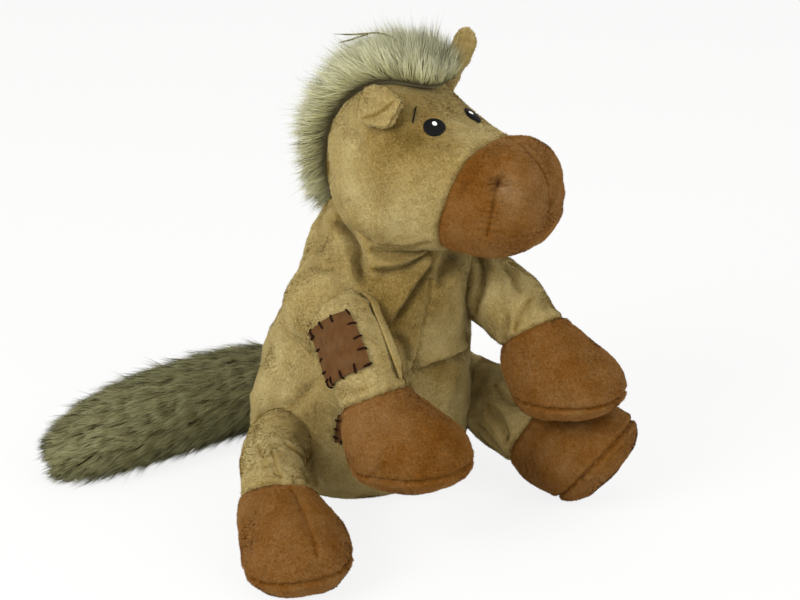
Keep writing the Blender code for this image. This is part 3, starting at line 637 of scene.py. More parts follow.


# %% [markdown]
# ## Trunk and neck
#
# The trunk is one bag of minky: flat under the seat, where pellets sit, and
# narrow at the neck. Its top is pressed by the head, so it creases there and
# at the armpits. The shoulders and hips are drawn out of the same cloth: each
# ball root pushes the skin out softly, and the limb's seam then sits on the
# bulge. Trunk and neck are one skin.

# %% Trunk grid
def limb_root(height, bearing, sign):
    """Centre of a limb's ball root, off the trunk's surface."""
    rows = smooth_rows(trunk_shares, 8)
    width, depth, lean = (np.interp(height / TRUNK_HEIGHT, rows[:, 0], rows[:, i]) for i in (1, 2, 3))
    middle = np.array((TRUNK_SWAY * lean, -TRUNK_LEAN * lean, height))
    way = direction(sign * bearing, 0)
    reach = 1 / math.hypot(way[0] / (width * TRUNK_WIDTH / 2), way[1] / (depth * TRUNK_DEPTH / 2))
    return middle + way * (reach + ROOT_OUT)


limb_roots = {
    "arm_right": (limb_root(SHOULDER_HEIGHT, SHOULDER_BEARING, -1), ARM_RADIUS),
    "arm_left": (limb_root(SHOULDER_HEIGHT, SHOULDER_BEARING, 1), ARM_RADIUS),
    "leg_right": (limb_root(HIP_HEIGHT, HIP_BEARING, -1), LEG_RADIUS),
    "leg_left": (limb_root(HIP_HEIGHT, HIP_BEARING, 1), LEG_RADIUS),
}
for name, (root, radius) in limb_roots.items():
    print(name, np.round(root, 1))


def swell(grid, centre, radius, softness, steps=14):
    """Skin drawn out over a ball, with a soft hollow where the two meet."""
    normals = outward(grid)
    moved = np.zeros(grid.shape[:2])
    for _ in range(steps):
        place = grid + normals * moved[..., None]
        ball = np.linalg.norm(place - centre, axis=-1) - radius
        mix = np.clip(softness - np.abs(moved - ball), 0, None) / softness
        union = np.minimum(moved, ball) - mix * mix * softness / 4
        moved = moved - 0.7 * union
    return grid + normals * moved[..., None]


SEAT_ROWS, SEAT_SHARE, TRUNK_STEPS, TRUNK_SIDES = 22, 0.62, 15, 400
ROOT_GIRTH = {"arm": 0.93, "leg": 0.80}
ROOT_SINK, USUAL_SINK, ROOT_SOFTNESS = {"leg_right": 5.5}, 0.8, 10
SLEEVE_TOP_ACROSS, SLEEVE_TOP_ALONG = 5, 3
SLEEVE_TOP_RADIUS, SLEEVE_TOP_SOFTNESS = 16.4, 9
# Centre, radius and softness of each lump that the filling makes under the head.
trunk_lumps = (
    ((-3, -5, 134), 24.5, 8),
    ((-12, -7, 118), 23, 10),
    ((22, -8, 118), 23, 10),
    ((-29, -19, 121), 15, 14),
    ((41, -20, 121), 13, 14),
)


def trunk_ring(middle, width, depth):
    """One row of the trunk, from shares of its width and depth."""
    return ring(middle, (TRUNK_WIDTH / 2 * width, 0, 0), (0, TRUNK_DEPTH / 2 * depth, 0), TRUNK_SIDES)


trunk_rows = [trunk_ring(np.zeros(3), share, share) for share in np.linspace(0, SEAT_SHARE, SEAT_ROWS)]
for height, width, depth, lean in smooth_rows(trunk_shares, TRUNK_STEPS):
    middle = np.array((TRUNK_SWAY * lean, -TRUNK_LEAN * lean, TRUNK_HEIGHT * height))
    trunk_rows.append(trunk_ring(middle, width, depth))
trunk_grid = np.array(trunk_rows)
for centre, radius, softness in trunk_lumps:
    trunk_grid = swell(trunk_grid, np.array(centre), radius, softness)
root_moves = {"leg_right": view_right * limb_shifts["leg_right"][0]}
look_roots = {name: (root + root_moves.get(name, 0), radius * ROOT_GIRTH[name[:3]])
              for name, (root, radius) in limb_roots.items()}
for name, (root, radius) in look_roots.items():
    trunk_grid = swell(trunk_grid, root, radius - ROOT_SINK.get(name, USUAL_SINK), ROOT_SOFTNESS)
sleeve_top = limb_roots["arm_right"][0] + view_right * SLEEVE_TOP_ACROSS
sleeve_top = sleeve_top + direction(*limb_ways["arm_right"][0]) * SLEEVE_TOP_ALONG
trunk_grid = swell(trunk_grid, sleeve_top, SLEEVE_TOP_RADIUS, SLEEVE_TOP_SOFTNESS)
print("trunk grid", trunk_grid.shape)

# %% [markdown]
# ## Folds and seams of the trunk
#
# Every line below was noted on the photograph and is laid on the skin behind
# it. Folds are wide valleys with raised lips; seams are narrow grooves with
# puckers where the thread draws the cloth in. The back, which the photograph
# doesn't show, gets the centre seam that closes such a body and a few soft
# folds beside the tail.

# %% Trunk relief
# Each row of folds and pleats: depth, width and the pixels of its line.
trunk_folds = (
    (5.6, 2.8, ((337, 208), (344, 223), (352, 238), (358, 254), (361, 270), (362, 284))),
    (4.2, 2.4, ((370, 249), (392, 253), (412, 250), (432, 242))),
    (5.0, 4.0, ((464, 247), (451, 254), (444, 267), (437, 284))),
    (2.2, 2.0, ((476, 248), (473, 262), (472, 276))),
    (1.6, 2.8, ((288, 412), (302, 398), (318, 380))),
    (3.4, 2.6, ((288, 444), (302, 451), (311, 465), (317, 484))),
    (2.0, 3.2, ((318, 222), (322, 236), (316, 256))),
    (1.6, 2.4, ((312, 262), (322, 268), (334, 268))),
    (2.2, 2.6, ((392, 332), (402, 347), (408, 364))),
    (1.8, 3.0, ((448, 300), (452, 318), (450, 338))),
)
trunk_pleats = (
    (4.6, 2.6, ((431, 247), (413, 259), (393, 267), (372, 269))),
    (6.5, 3.4, ((430, 247), (429, 264), (420, 278), (409, 294), (398, 311), (387, 328))),
    (4.0, 2.6, ((309, 353), (296, 338), (282, 320))),
    (9.5, 3.2, ((472, 343), (456, 353), (440, 359), (426, 364), (408, 373))),
    (8.0, 3.0, ((469, 352), (458, 369), (448, 386), (438, 404))),
    (3.0, 2.2, ((254, 418), (267, 412.5), (280, 410), (292, 405))),
)
chest_seam = ((431, 278), (429, 304), (424, 326), (419, 345), (412, 368), (406, 395))
# Each spot of painted light (paler) and painted shade (darker): a pixel, a radius and how much paler or
# darker it is.
trunk_painted_light_and_shade = (
    ((400, 290), 22, -0.45), ((440, 300), 20, -0.2), ((270, 370), 22, 0.35), ((345, 230), 9, -0.15),
    ((300, 440), 16, -0.2), ((440, 335), 13, 0.3), ((398, 335), 13, -0.45), ((455, 256), 9, -0.4),
    ((436, 369), 8, -0.45), ((452, 377), 9, -0.4), ((380, 300), 8, -0.3),
)
# Bearings and heights of the seam and the folds on the back.
back_seam_line = ((178, 177, 176, 175, 176), (44, 62, 84, 106, 128))
back_fold_lines = (
    ((150, 132, 118), (30, 40, 56)),
    ((-150, -134, -122), (28, 40, 52)),
    ((150, 165, 172), (112, 118, 120)),
    ((100, 118, 135), (92, 86, 84)),
)
BACK_FOLD_DEPTH, BACK_FOLD_WIDTH = 2.2, 2.8
CALM_REACH, SEAT_CALM, FLOOR_GAP = 9, 14, 0.1
NAP_OVERLAP, TRUNK_NEAR = 0.5, 4

# %% [markdown]
# Lines on the front come from the photograph's pixels. Lines on the back are
# given by bearing and height.

# %% Trunk skin
def bearing_line(bearings, heights):
    """Points on the trunk at bearings from straight ahead, and at heights."""
    points = []
    for bearing, height in zip(bearings, heights):
        way = direction(bearing, 0)
        row = np.argmin(np.abs(trunk_grid[SEAT_ROWS:, 0, 2] - height)) + SEAT_ROWS
        line = unit((trunk_grid[row] - trunk_grid[row].mean(axis=0)) * np.array((1, 1, 0)))
        points.append(trunk_grid[row][np.argmax(line @ way)])
    return np.array(points)


normals = outward(trunk_grid)
calm = np.ones(trunk_grid.shape[:2])
for root, radius in look_roots.values():
    gap = np.linalg.norm(trunk_grid - root, axis=-1) - radius
    calm *= np.clip(gap / CALM_REACH, 0.1, 1)
push = (0.6 * ripple(trunk_grid, 34, 3) + 0.25 * ripple(trunk_grid, 13, 4)) * calm
# Folds and pleats get painted shade along their valleys, and seams get painted shade where the pile parts.
for depth, width, line in laid(trunk_grid, trunk_folds):
    push += fold(trunk_grid, line, depth, width)
    paint_shade_line(line, 0.1 * depth, width * 0.6)
for depth, width, line in laid(trunk_grid, trunk_pleats):
    push += pleat(trunk_grid, normals, line, depth, width)
    paint_shade_line(line, 0.7, width * 0.6)
trunk_seams = ((on_skin(trunk_grid, chest_seam), 1.5, 7), (bearing_line(*back_seam_line), 1.3, 8))
for line, depth, spacing in trunk_seams:
    push += seam(trunk_grid, line, depth, 1.4, 0.5, spacing)
    paint_shade_line(line, 0.6, 1.0)
for bearings, heights in back_fold_lines:
    push += fold(trunk_grid, bearing_line(bearings, heights), BACK_FOLD_DEPTH, BACK_FOLD_WIDTH)
push *= np.clip(trunk_grid[..., 2] / SEAT_CALM, 0, 1)
trunk_grid = trunk_grid + normals * push[..., None]
trunk_grid[..., 2] = np.maximum(trunk_grid[..., 2], FLOOR_GAP)
for pixel, radius, amount in trunk_painted_light_and_shade:
    paint_light_and_shade(trunk_grid, pixel, radius, amount)
trunk_skin = sew("trunk_and_neck_skin", trunk_grid, tan_minky, GROUND_SHARE)


def clear_of_limbs(points):
    """True where a point of the trunk's nap isn't under the round root of a limb."""
    clear = np.ones(len(points), dtype=bool)
    for root, radius in look_roots.values():
        clear &= np.linalg.norm(points - root, axis=1) > radius - NAP_OVERLAP
    return clear


trunk_nap = grow_pile("trunk_nap", trunk_grid[SEAT_ROWS:], tan_minky, (0.1, 0, -0.8), seed=11,
                      keep=clear_of_limbs)
for piece in (trunk_skin, trunk_nap):
    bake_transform(piece)
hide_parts("body_skin", "body_stuffing", "bean_pouch", "neck")
print("trunk faces", len(trunk_skin.data.polygons), "blades", len(trunk_nap.data.polygons))

# %% [markdown]
# ## Arms and legs
#
# Each limb is a tube of tan minky that starts in a round root, with a bent,
# puffy hoof of rust minky and a separate sole panel. One grid carries all
# three, so their seams meet; rows of the grid then go to the skin, the hoof
# or the sole. A ring seam draws the cloth in at the wrist and round the sole.

# %% Limb grids
ROOT_TILTS = np.radians(np.linspace(0, 72, 10))
ROWS_PER_SHARE, LIMB_SIDES = 14, 130


def limb_grid(name):
    """A limb from its round root to the pole of its sole, with its seam rows."""
    root, radius = limb_roots[name]
    length = ARM_LENGTH if name.startswith("arm") else LEG_LENGTH
    limb_way, hoof_way, toe_hint = (direction(*way) for way in limb_ways[name])
    toe_way = unit(toe_hint - hoof_way * np.dot(hoof_way, toe_hint))
    side_way = unit(np.cross(limb_way, toe_way))
    up_way = np.cross(side_way, limb_way)
    rows = []
    first_girth, first_shift = limb_girths[name][0], view_right * limb_shifts[name][0]
    for tilt in ROOT_TILTS:
        reach = radius * first_girth * math.sin(tilt)
        middle = root + first_shift - limb_way * radius * first_girth * math.cos(tilt)
        rows.append(ring(middle, up_way * reach, side_way * reach, LIMB_SIDES))
    for along, hoof, sole, toe, limb_girth, hoof_girth, turn in smooth_rows(limb_shares, ROWS_PER_SHARE):
        way = unit(limb_way * (1 - turn) + hoof_way * turn)
        side_way = unit(np.cross(way, toe_way))
        up_way = np.cross(side_way, way)
        middle = root + limb_way * length * along + toe_way * TOE_SHIFT * toe
        middle = middle + hoof_way * (HOOF_HEIGHT * hoof + SOLE_THICKNESS * sole)
        middle = middle + view_right * np.interp(along, LOOK_SHARES, limb_shifts[name])
        limb_girth = limb_girth * np.interp(along, LOOK_SHARES, limb_girths[name])
        half_long = max(radius * limb_girth + HOOF_LENGTH / 2 * hoof_girth, 0)
        half_wide = max(radius * limb_girth + HOOF_WIDTH / 2 * hoof_girth, 0)
        rows.append(ring(middle, up_way * half_long, side_way * half_wide, LIMB_SIDES))
    grid = np.array(rows)
    first = len(ROOT_TILTS)
    return grid, first + WRIST_ROW * ROWS_PER_SHARE, first + SOLE_ROW * ROWS_PER_SHARE


# %% [markdown]
# The hooves are gathered into their seams, so the cloth puckers evenly round
# each ring. Folds run across the inside of a bend, and the right thigh creases
# where it is pressed against the belly.

# %% Seams and folds of the limbs
def row_arcs(grid):
    """Distance along the grid of every point from its first row."""
    steps = np.linalg.norm(np.diff(grid, axis=0), axis=-1)
    return np.vstack((np.zeros((1, grid.shape[1])), np.cumsum(steps, axis=0)))


# Depth, width, number and height of the puckers of each ring seam.
WRIST_SEAM, SOLE_SEAM, MUZZLE_SEAM = (1.3, 1.2, 16, 0.4), (1.3, 1.1, 26, 0.4), (1.1, 1.2, 30, 0.16)


def ring_seam(grid, row, depth, width, puckers, pucker):
    """How far a seam round a row pushes the points out."""
    arcs = row_arcs(grid)
    gap = np.abs(arcs - arcs[row])
    angle = np.arange(grid.shape[1]) * (2 * math.pi / grid.shape[1])
    wave = np.sin(angle * puckers) * np.exp(-((gap / (3.5 * width)) ** 2)) * np.minimum(gap / width, 1)
    lips = np.exp(-(((gap - 2.4 * width) / (1.4 * width)) ** 2))
    return depth * (0.35 * lips - np.exp(-((gap / width) ** 2))) + pucker * wave


limb_folds = {
    "arm_right": (
        (1.5, 0.9, ((314, 313), (326, 300), (338, 294), (350, 290), (361, 287))),
        (1.6, 1.0, ((361, 287), (370, 304), (379, 323), (389, 350), (398, 380))),
        (1.2, 2.6, ((332, 398), (345, 393), (364, 388))),
    ),
    "arm_left": (
        (3.2, 2.4, ((473, 250), (482, 266), (481, 290), (476, 314))),
        (2.4, 2.2, ((500, 262), (512, 275), (520, 292))),
        (2.0, 2.2, ((498, 345), (505, 330), (508, 315))),
        (1.4, 2.2, ((530, 300), (520, 315), (516, 330))),
    ),
    "leg_right": (
        (1.8, 1.4, ((275.5, 448), (280, 450.5), (286, 452.5))),
        (0.8, 2.4, ((257, 446), (263, 457), (266, 468))),
    ),
    "leg_left": (
        (3.0, 2.2, ((488, 405), (500, 420), (508, 440))),
        (2.0, 2.2, ((478, 425), (492, 440), (500, 455))),
        (1.6, 2.2, ((495, 385), (508, 398), (518, 404))),
    ),
}
limb_pleats = {
    "arm_right": (
        (2.2, 1.8, ((365, 282), (374, 290), (381, 306), (388, 325), (395, 343), (404, 366), (408, 378))),
    ),
    "arm_left": (),
    "leg_right": (
        (2.6, 2.0, ((313, 478), (309, 466), (304, 458), (294, 450), (284, 443))),
        (1.6, 1.8, ((281, 478), (276, 468), (273, 456), (271.5, 446))),
    ),
    "leg_left": (),
}
hoof_seams = {
    "arm_right": ((0.7, 1.2, ((372, 474), (380, 470), (385, 462))),),
    "leg_right": ((0.9, 1.1, ((286, 484), (297, 495), (307, 518), (314, 540), (317, 557))),),
    "arm_left": (),
    "leg_left": (),
}
# Spots of painted light and shade on each limb: a pixel, a radius and how much paler or darker it is.
limb_painted_light_and_shade = {
    "arm_right": (((335, 303), 14, 0.35), ((375, 330), 12, 0.35), ((345, 388), 10, 0.15),
                  ((368, 425), 16, 0.25), ((440, 450), 20, -0.3)),
    "arm_left": (((510, 285), 14, 0.3),),
    "leg_right": (((258, 445), 16, 0.5), ((290, 470), 9, 0.3), ((278, 452), 4, -0.4)),
    "leg_left": (),
}

# %% [markdown]
# The round root of each limb lies inside the bulge that the trunk makes for
# it. Nap that would poke out through the other piece's skin is left off.

# %% Sewing the limbs
HOOF_KINDS = {"arm": "fore", "leg": "hind"}
NAP_LEAN, HOOF_NAP_LENGTH = 0.8, 1.0
ROOT_CALM = 30
trunk_points = trunk_grid[::2, ::2].reshape(-1, 3)
trunk_outs = outward(trunk_grid)[::2, ::2].reshape(-1, 3)
trunk_tree = kdtree.KDTree(len(trunk_points))
for number, place in enumerate(trunk_points):
    trunk_tree.insert(place, number)
trunk_tree.balance()


def clear_of_trunk(points):
    """True where a point of a limb's nap isn't under the trunk's skin."""
    near = [trunk_tree.find(place)[1] for place in points]
    height = np.sum((points - trunk_points[near]) * trunk_outs[near], axis=1)
    gap = np.linalg.norm(points - trunk_points[near], axis=1)
    return (height > -NAP_OVERLAP) | (gap > TRUNK_NEAR)


limb_grids = {}
for name in limb_roots:
    kind, side = name.split("_")
    seed = sum(map(ord, name))
    grid, wrist, sole = limb_grid(name)
    normals = outward(grid)
    push = 0.4 * ripple(grid, 26, seed) + 0.12 * ripple(grid, 9, seed + 1)
    push *= np.clip(row_arcs(grid) / ROOT_CALM, 0, 1)
    push += ring_seam(grid, wrist, *WRIST_SEAM)
    push += ring_seam(grid, sole, *SOLE_SEAM)
    # Folds, pleats, hoof seams and ring seams get painted shade along their lines.
    for depth, width, line in laid(grid[:wrist + 1], limb_folds[name]):
        push += fold(grid, line, depth, width)
        paint_shade_line(line, 0.7, width * 0.6)
    for depth, width, line in laid(grid[:wrist + 1], limb_pleats[name]):
        push += pleat(grid, normals, line, depth, width)
        paint_shade_line(line, 0.8, width * 0.5)
    for depth, width, line in laid(grid[wrist:], hoof_seams[name]):
        push += seam(grid, line, depth, width, 0.2, 5)
        paint_shade_line(line, 0.5, 0.9)
    for row in (wrist, sole):
        paint_shade_line(grid[row], 0.7, 0.9, closed=True)
    grid = grid + normals * push[..., None]
    grid[..., 2] = np.maximum(grid[..., 2], FLOOR_GAP)
    limb_grids[name] = (grid, wrist, sole)
    for pixel, radius, amount in limb_painted_light_and_shade[name]:
        paint_light_and_shade(grid, pixel, radius, amount)
    hoof_name, sole_name = (f"{HOOF_KINDS[kind]}_{part}_{side}" for part in ("hoof", "sole"))
    limb_lean, hoof_lean = (direction(*way) * NAP_LEAN for way in limb_ways[name][:2])
    skin = sew(f"{name}_sleeve", grid[:wrist + 1], tan_minky, GROUND_SHARE)
    hoof = sew(f"{hoof_name}_cover", grid[wrist:sole + 1], rust_minky, GROUND_SHARE)
    panel = sew(f"{sole_name}_panel", grid[sole:], rust_minky, GROUND_SHARE)
    sleeve_nap = grow_pile(f"{name}_nap", grid[:wrist + 1], tan_minky, limb_lean, seed=seed,
                           keep=clear_of_trunk)
    hoof_nap = grow_pile(f"{hoof_name}_nap", grid[wrist:-2], rust_minky, hoof_lean, length=HOOF_NAP_LENGTH,
                         seed=seed + 3)
    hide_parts(f"{name}_skin", f"{name}_stuffing")
    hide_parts(hoof_name)
    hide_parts(sole_name)
    for piece in (skin, hoof, panel, sleeve_nap, hoof_nap):
        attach(piece, name)
    print(name, grid.shape, "blades", len(sleeve_nap.data.polygons) + len(hoof_nap.data.polygons))

# %% [markdown]
# ## Seam allowance on the sleeve
#
# The seam down the front of the right sleeve was left outside, so a narrow
# flap of cloth stands along it. It is a flat tube, laid beside the seam.

# %% Sleeve flap
FLAP_WIDTH, FLAP_THICKNESS, FLAP_LIFT = 5.2, 1.2, 0.6
FLAP_SIDES, FLAP_SQUARENESS = 40, 2.6
arm_grid, arm_wrist, _ = limb_grids["arm_right"]
sleeve_grid = arm_grid[:arm_wrist + 1]
flap_pixels = ((361.5, 285), (368, 300), (375, 316), (383, 336), (390, 355), (399, 379))
flap_line = smooth_rows(on_skin(sleeve_grid, flap_pixels), 16)
flap_out = outward_at(sleeve_grid, flap_line)
flap_across = unit(np.cross(flap_out, np.gradient(flap_line, axis=0)))
flap_across *= np.sign(flap_across @ view_right)[:, None]
flap_rows = []
for place, across, out, share in zip(flap_line, flap_across, flap_out, np.linspace(0, 1, len(flap_line))):
    size = min(1, 0.35 + 5 * min(share, 1 - share))
    half = across * FLAP_WIDTH / 2 * size
    flap_rows.append(ring(place + half + out * FLAP_LIFT, half, out * FLAP_THICKNESS / 2 * size,
                          FLAP_SIDES, FLAP_SQUARENESS))
flap_grid = np.array(flap_rows)
# Painted shade along the seam under the flap.
paint_shade_line(flap_line, 0.9, 0.7)
sleeve_flap = sew("sleeve_seam_flap", flap_grid, tan_minky)
flap_nap = grow_pile("sleeve_flap_nap", flap_grid, tan_minky, (0, 0, -1), length=0.8, seed=19)
for piece in (sleeve_flap, flap_nap):
    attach(piece, "arm_right")
print("flap", np.round(np.ptp(flap_line, axis=0), 1))

# %% [markdown]
# ## Head
#
# The skull is tan minky and the muzzle a rust cap sewn on with a slanted ring
# seam. A centre seam runs over the cap, and each nostril is a stitch pulled
# through to the filling, so the cloth dimples and creases towards it.

# %% Head grid
def head_frame():
    """Turn and place of the head, which its shares are written in."""
    heading, roll = math.radians(HEAD_HEADING), math.radians(HEAD_ROLL)
    cosine, sine = math.cos(heading), math.sin(heading)
    about_z = np.array(((cosine, -sine, 0), (sine, cosine, 0), (0, 0, 1)))
    cosine, sine = math.cos(roll), math.sin(roll)
    about_y = np.array(((cosine, 0, sine), (0, 1, 0), (-sine, 0, cosine)))
    return about_z @ about_y


HEAD_TURN = head_frame()


def from_head(points):
    """Points of the head's own frame, in world places."""
    return points @ HEAD_TURN.T + NECK_CENTRE


def to_head(points):
    """World places, in the head's own frame."""
    return (points - NECK_CENTRE) @ HEAD_TURN


HEAD_ROWS, HEAD_SIDES = 12, 240
head_rows = []
for along, rise, width, height, tilt in smooth_rows(head_shares, HEAD_ROWS):
    lean = math.radians(MUZZLE_SEAM_TILT) * tilt
    back = head_shares[SKULL_ROW][0] * HEAD_LENGTH
    middle = np.array((0, -HEAD_FORWARD + back - HEAD_LENGTH * along, HEAD_RISE + HEAD_HEIGHT * rise))
    width, height = max(width, 0), max(height, 0)
    deep = np.array((0, -math.sin(lean), math.cos(lean))) * HEAD_HEIGHT / 2 * height
    head_rows.append(ring(middle, (HEAD_WIDTH / 2 * width, 0, 0), deep, HEAD_SIDES, HEAD_SQUARENESS))
head_grid = from_head(np.array(head_rows))
muzzle_seam = MUZZLE_ROW * HEAD_ROWS
head_pixels = seen_at(head_grid)
print("head grid", head_grid.shape, "pixel box", np.round([head_pixels.min((0, 1)), head_pixels.max((0, 1))]))

# %% [markdown]
# The chin creases over the neck, and thread pulled through to the filling
# makes each nostril. Rays of gathered cloth run towards it.

# %% Head relief
NOSTRIL = (498, 182.5)
PIT_DEPTH, PIT_RADIUS = 4.2, 1.9
HOLLOW_DEPTH, HOLLOW_RADIUS = 1.8, 6.5
RAY_HEIGHT, RAY_PLACE, RAY_REACH, RAY_COUNT = 1.3, 4.0, 2.4, 6
MIRROR = np.array((-1, 1, 1))
centre_seam = ((503, 134), (514, 138), (524, 145), (533, 155), (541, 168), (547, 182), (550, 196), (551, 211))
nostril_seam = ((497, 186), (494, 203), (491, 218), (487, 236))
head_folds = (
    (1.1, 1.6, ((372, 243), (390, 247), (412, 246), (433, 240))),
    (1.2, 3.5, ((352, 118), (360, 140), (364, 168), (372, 196))),
    (0.8, 2.6, ((444, 130), (458, 131), (470, 130))),
    (0.6, 2.0, ((368, 122), (376, 134), (380, 148))),
)
normals = outward(head_grid)
push = 0.35 * ripple(head_grid, 30, 21) + 0.15 * ripple(head_grid, 10, 22)
push += ring_seam(head_grid, muzzle_seam, *MUZZLE_SEAM)
# The muzzle seam, chin crease, centre seam, nostril pits and nostril seams get painted shade.
paint_shade_line(head_grid[muzzle_seam], 0.6, 0.8, closed=True)
for depth, width, line in laid(head_grid, head_folds):
    push += fold(head_grid, line, depth, width)
paint_shade_line(on_skin(head_grid, head_folds[0][2]), 0.8, 1.2)
line = on_skin(head_grid, centre_seam)
push += seam(head_grid, line, 1.1, 0.9, 0.12, 4)
paint_shade_line(line, 0.6, 0.8)
nostrils = [on_skin(head_grid, [NOSTRIL])[0]]
mirrored = to_head(nostrils[0]) * MIRROR
flat_points = head_grid[muzzle_seam:].reshape(-1, 3)
nostrils.append(flat_points[np.argmin(np.linalg.norm(flat_points - from_head(mirrored), axis=1))])
for nostril in nostrils:
    away = head_grid - nostril
    distance = np.linalg.norm(away, axis=-1)
    local = to_head(head_grid) - to_head(nostril)
    bearing = np.arctan2(local[..., 2], local[..., 0] + local[..., 1])
    rays = np.cos(bearing * RAY_COUNT + 0.6) * np.exp(-(((distance - RAY_PLACE) / RAY_REACH) ** 2))
    pit = PIT_DEPTH * np.exp(-((distance / PIT_RADIUS) ** 2))
    hollow = HOLLOW_DEPTH * np.exp(-((distance / HOLLOW_RADIUS) ** 2))
    push += RAY_HEIGHT * rays - pit - hollow
    paint_shade_line(nostril + np.array(((0, 0, -0.8), (0, 0, 0.8))), 1.2, 1.6)
down_seam = on_skin(head_grid, nostril_seam)
for line in (down_seam, from_head(to_head(down_seam) * MIRROR)):
    push += seam(head_grid, line, 1.3, 0.8, 0.45, 3)
    paint_shade_line(line, 1.0, 0.8)
head_grid = head_grid + normals * push[..., None]

# %% [markdown]
# The grid is cut at the ring seam: the rows behind it are the skull and those
# in front are the muzzle. Painted shade darkens the nap round the brow, and
# painted light makes it pale along the cheek.

# %% Head pieces
# Spots of painted light and shade on the head: a pixel, a radius and how much paler or darker it is.
head_painted_light_and_shade = (
    ((404, 128), 15, -0.75), ((372, 165), 16, -0.3), ((440, 150), 14, -0.25), ((430, 100), 8, -0.4),
    ((348, 150), 9, 0.5), ((352, 190), 9, 0.5), ((400, 220), 16, 0.3), ((470, 140), 10, 0.3),
    ((465, 175), 14, -0.35), ((530, 200), 16, 0.3), ((506, 191), 6, 0.6),
)
SKULL_LEAN, MUZZLE_LEAN, MUZZLE_NAP_LENGTH = (0, -0.3, 0.7), (0, 0.6, -0.3), 0.9
for pixel, radius, amount in head_painted_light_and_shade:
    paint_light_and_shade(head_grid, pixel, radius, amount)
skull_grid, muzzle_grid = head_grid[:muzzle_seam + 1], head_grid[muzzle_seam:]
skull = sew("skull_skin", skull_grid, tan_minky, GROUND_SHARE)
muzzle = sew("muzzle_cap", muzzle_grid, rust_minky, GROUND_SHARE)
skull_nap = grow_pile("skull_nap", skull_grid, tan_minky, -HEAD_TURN @ np.array(SKULL_LEAN), seed=31)
muzzle_nap = grow_pile("muzzle_nap", muzzle_grid, rust_minky, HEAD_TURN @ np.array(MUZZLE_LEAN),
                       length=MUZZLE_NAP_LENGTH, seed=32)
for piece in (skull, muzzle, skull_nap, muzzle_nap):
    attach(piece, "head")
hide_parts("head_skin", "head_stuffing")
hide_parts("muzzle_skin")
print("head blades", len(skull_nap.data.polygons) + len(muzzle_nap.data.polygons))

# %% [markdown]
# ## Ears
#
# An ear is a leaf of minky, two layers sewn edge to edge and turned out, so
# its rim is full and its middle lies flatter. The right one has been folded
# down over itself and its edge rolls; the left one stands.

# %% Ear grids
EAR_LENGTH = {"right": 29.5, "left": 37}
EAR_WIDTH = {"right": 24, "left": 12.5}
EAR_FOLD = {"right": 130, "left": 10}
EAR_ROOT_DEPTH, EAR_TILT, EAR_TURN, EAR_CUP = 3, 26, 100, 2.2
FOLD_START_SHARE, FOLD_SPAN_SHARE, THIN_SHARE = 0.30, 0.22, 0.4
EAR_STEPS, EAR_SIDES = 14, 72
EAR_LAYER_OFFSET, EAR_LAYER_THICKNESS, EAR_NAP_LENGTH = 1.1, 2.6, 1.1
ear_crease = ((363, 118), (373, 116), (387, 107), (399, 94))
ear_shares = {
    "right": ((0.00, 0.62), (0.25, 0.92), (0.50, 1.00), (0.75, 0.96), (0.93, 0.80), (1.00, 0.00)),
    "left": ((0.00, 0.42), (0.25, 0.60), (0.50, 0.88), (0.75, 1.00), (0.93, 0.68), (1.00, 0.00)),
}
# The roots of the ears are where the solids have their hinges.
ear_roots = {"right": np.array((-8.24, -39.60, 212.85)), "left": np.array((38.77, -22.49, 210.23))}


def ear_grid(side, offset):
    """One layer of an ear: a thin full leaf, offset from the ear's middle."""
    sign = 1 if side == "left" else -1
    tilt, turn = math.radians(EAR_TILT) * sign, math.radians(EAR_TURN) * sign
    up_way = HEAD_TURN @ np.array((math.sin(tilt), 0, math.cos(tilt)))
    front_way = HEAD_TURN @ np.array((math.sin(turn), -math.cos(turn), 0))
    side_way = unit(np.cross(front_way, up_way))
    ear_axes = np.column_stack((side_way, np.cross(up_way, side_way), up_way))
    angles = np.arange(EAR_SIDES) * (2 * math.pi / EAR_SIDES)
    rim = 0.65 + 0.35 * np.abs(np.cos(angles)) ** 6
    rows, place, travelled = [], np.array((0, 0, -EAR_ROOT_DEPTH), dtype=float), 0
    for share, width in smooth_rows(ear_shares[side], EAR_STEPS):
        width = max(width, 0)
        bend = np.clip((share - FOLD_START_SHARE) / FOLD_SPAN_SHARE, 0, 1)
        bend = math.radians(EAR_FOLD[side]) * bend * bend * (3 - 2 * bend)
        way = np.array((0, math.sin(bend), math.cos(bend)))
        out = np.array((0, math.cos(bend), -math.sin(bend)))
        place = place + way * EAR_LENGTH[side] * (share - travelled)
        travelled = share
        thin = min(1, width / THIN_SHARE)
        across = np.cos(angles) * EAR_WIDTH[side] / 2 * width
        deep = offset * thin + np.sin(angles) * EAR_LAYER_THICKNESS / 2 * thin * rim
        cup = EAR_CUP * (across / (EAR_WIDTH[side] / 2)) ** 2
        rows.append(place + np.outer(across, (1, 0, 0)) + np.outer(deep + cup * thin, out))
    return np.array(rows) @ ear_axes.T + ear_roots[side]


painted_light_and_shade_spots.clear()
for side in ("right", "left"):
    for layer, offset in (("back", -EAR_LAYER_OFFSET), ("lining", EAR_LAYER_OFFSET)):
        grid = ear_grid(side, offset)
        grid = grid + outward(grid) * (0.18 * ripple(grid, 7, 41 + len(layer)))[..., None]
        # Painted shade along the crease under the edge of the folded right ear.
        if side == "right":
            paint_shade_line(on_skin(grid, ear_crease), 0.7, 0.9)
        leaf = sew(f"ear_{side}_{layer}_leaf", grid, tan_minky, GROUND_SHARE)
        leaf_nap = grow_pile(f"ear_{side}_{layer}_nap", grid, tan_minky, (0, 0, -0.3),
                             length=EAR_NAP_LENGTH, seed=43 + len(layer))
        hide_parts(f"ear_{side}_{layer}")
        for piece in (leaf, leaf_nap):
            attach(piece, f"ear_{side}")
print("ears at", {side: np.round(seen_at(root)) for side, root in ear_roots.items()})

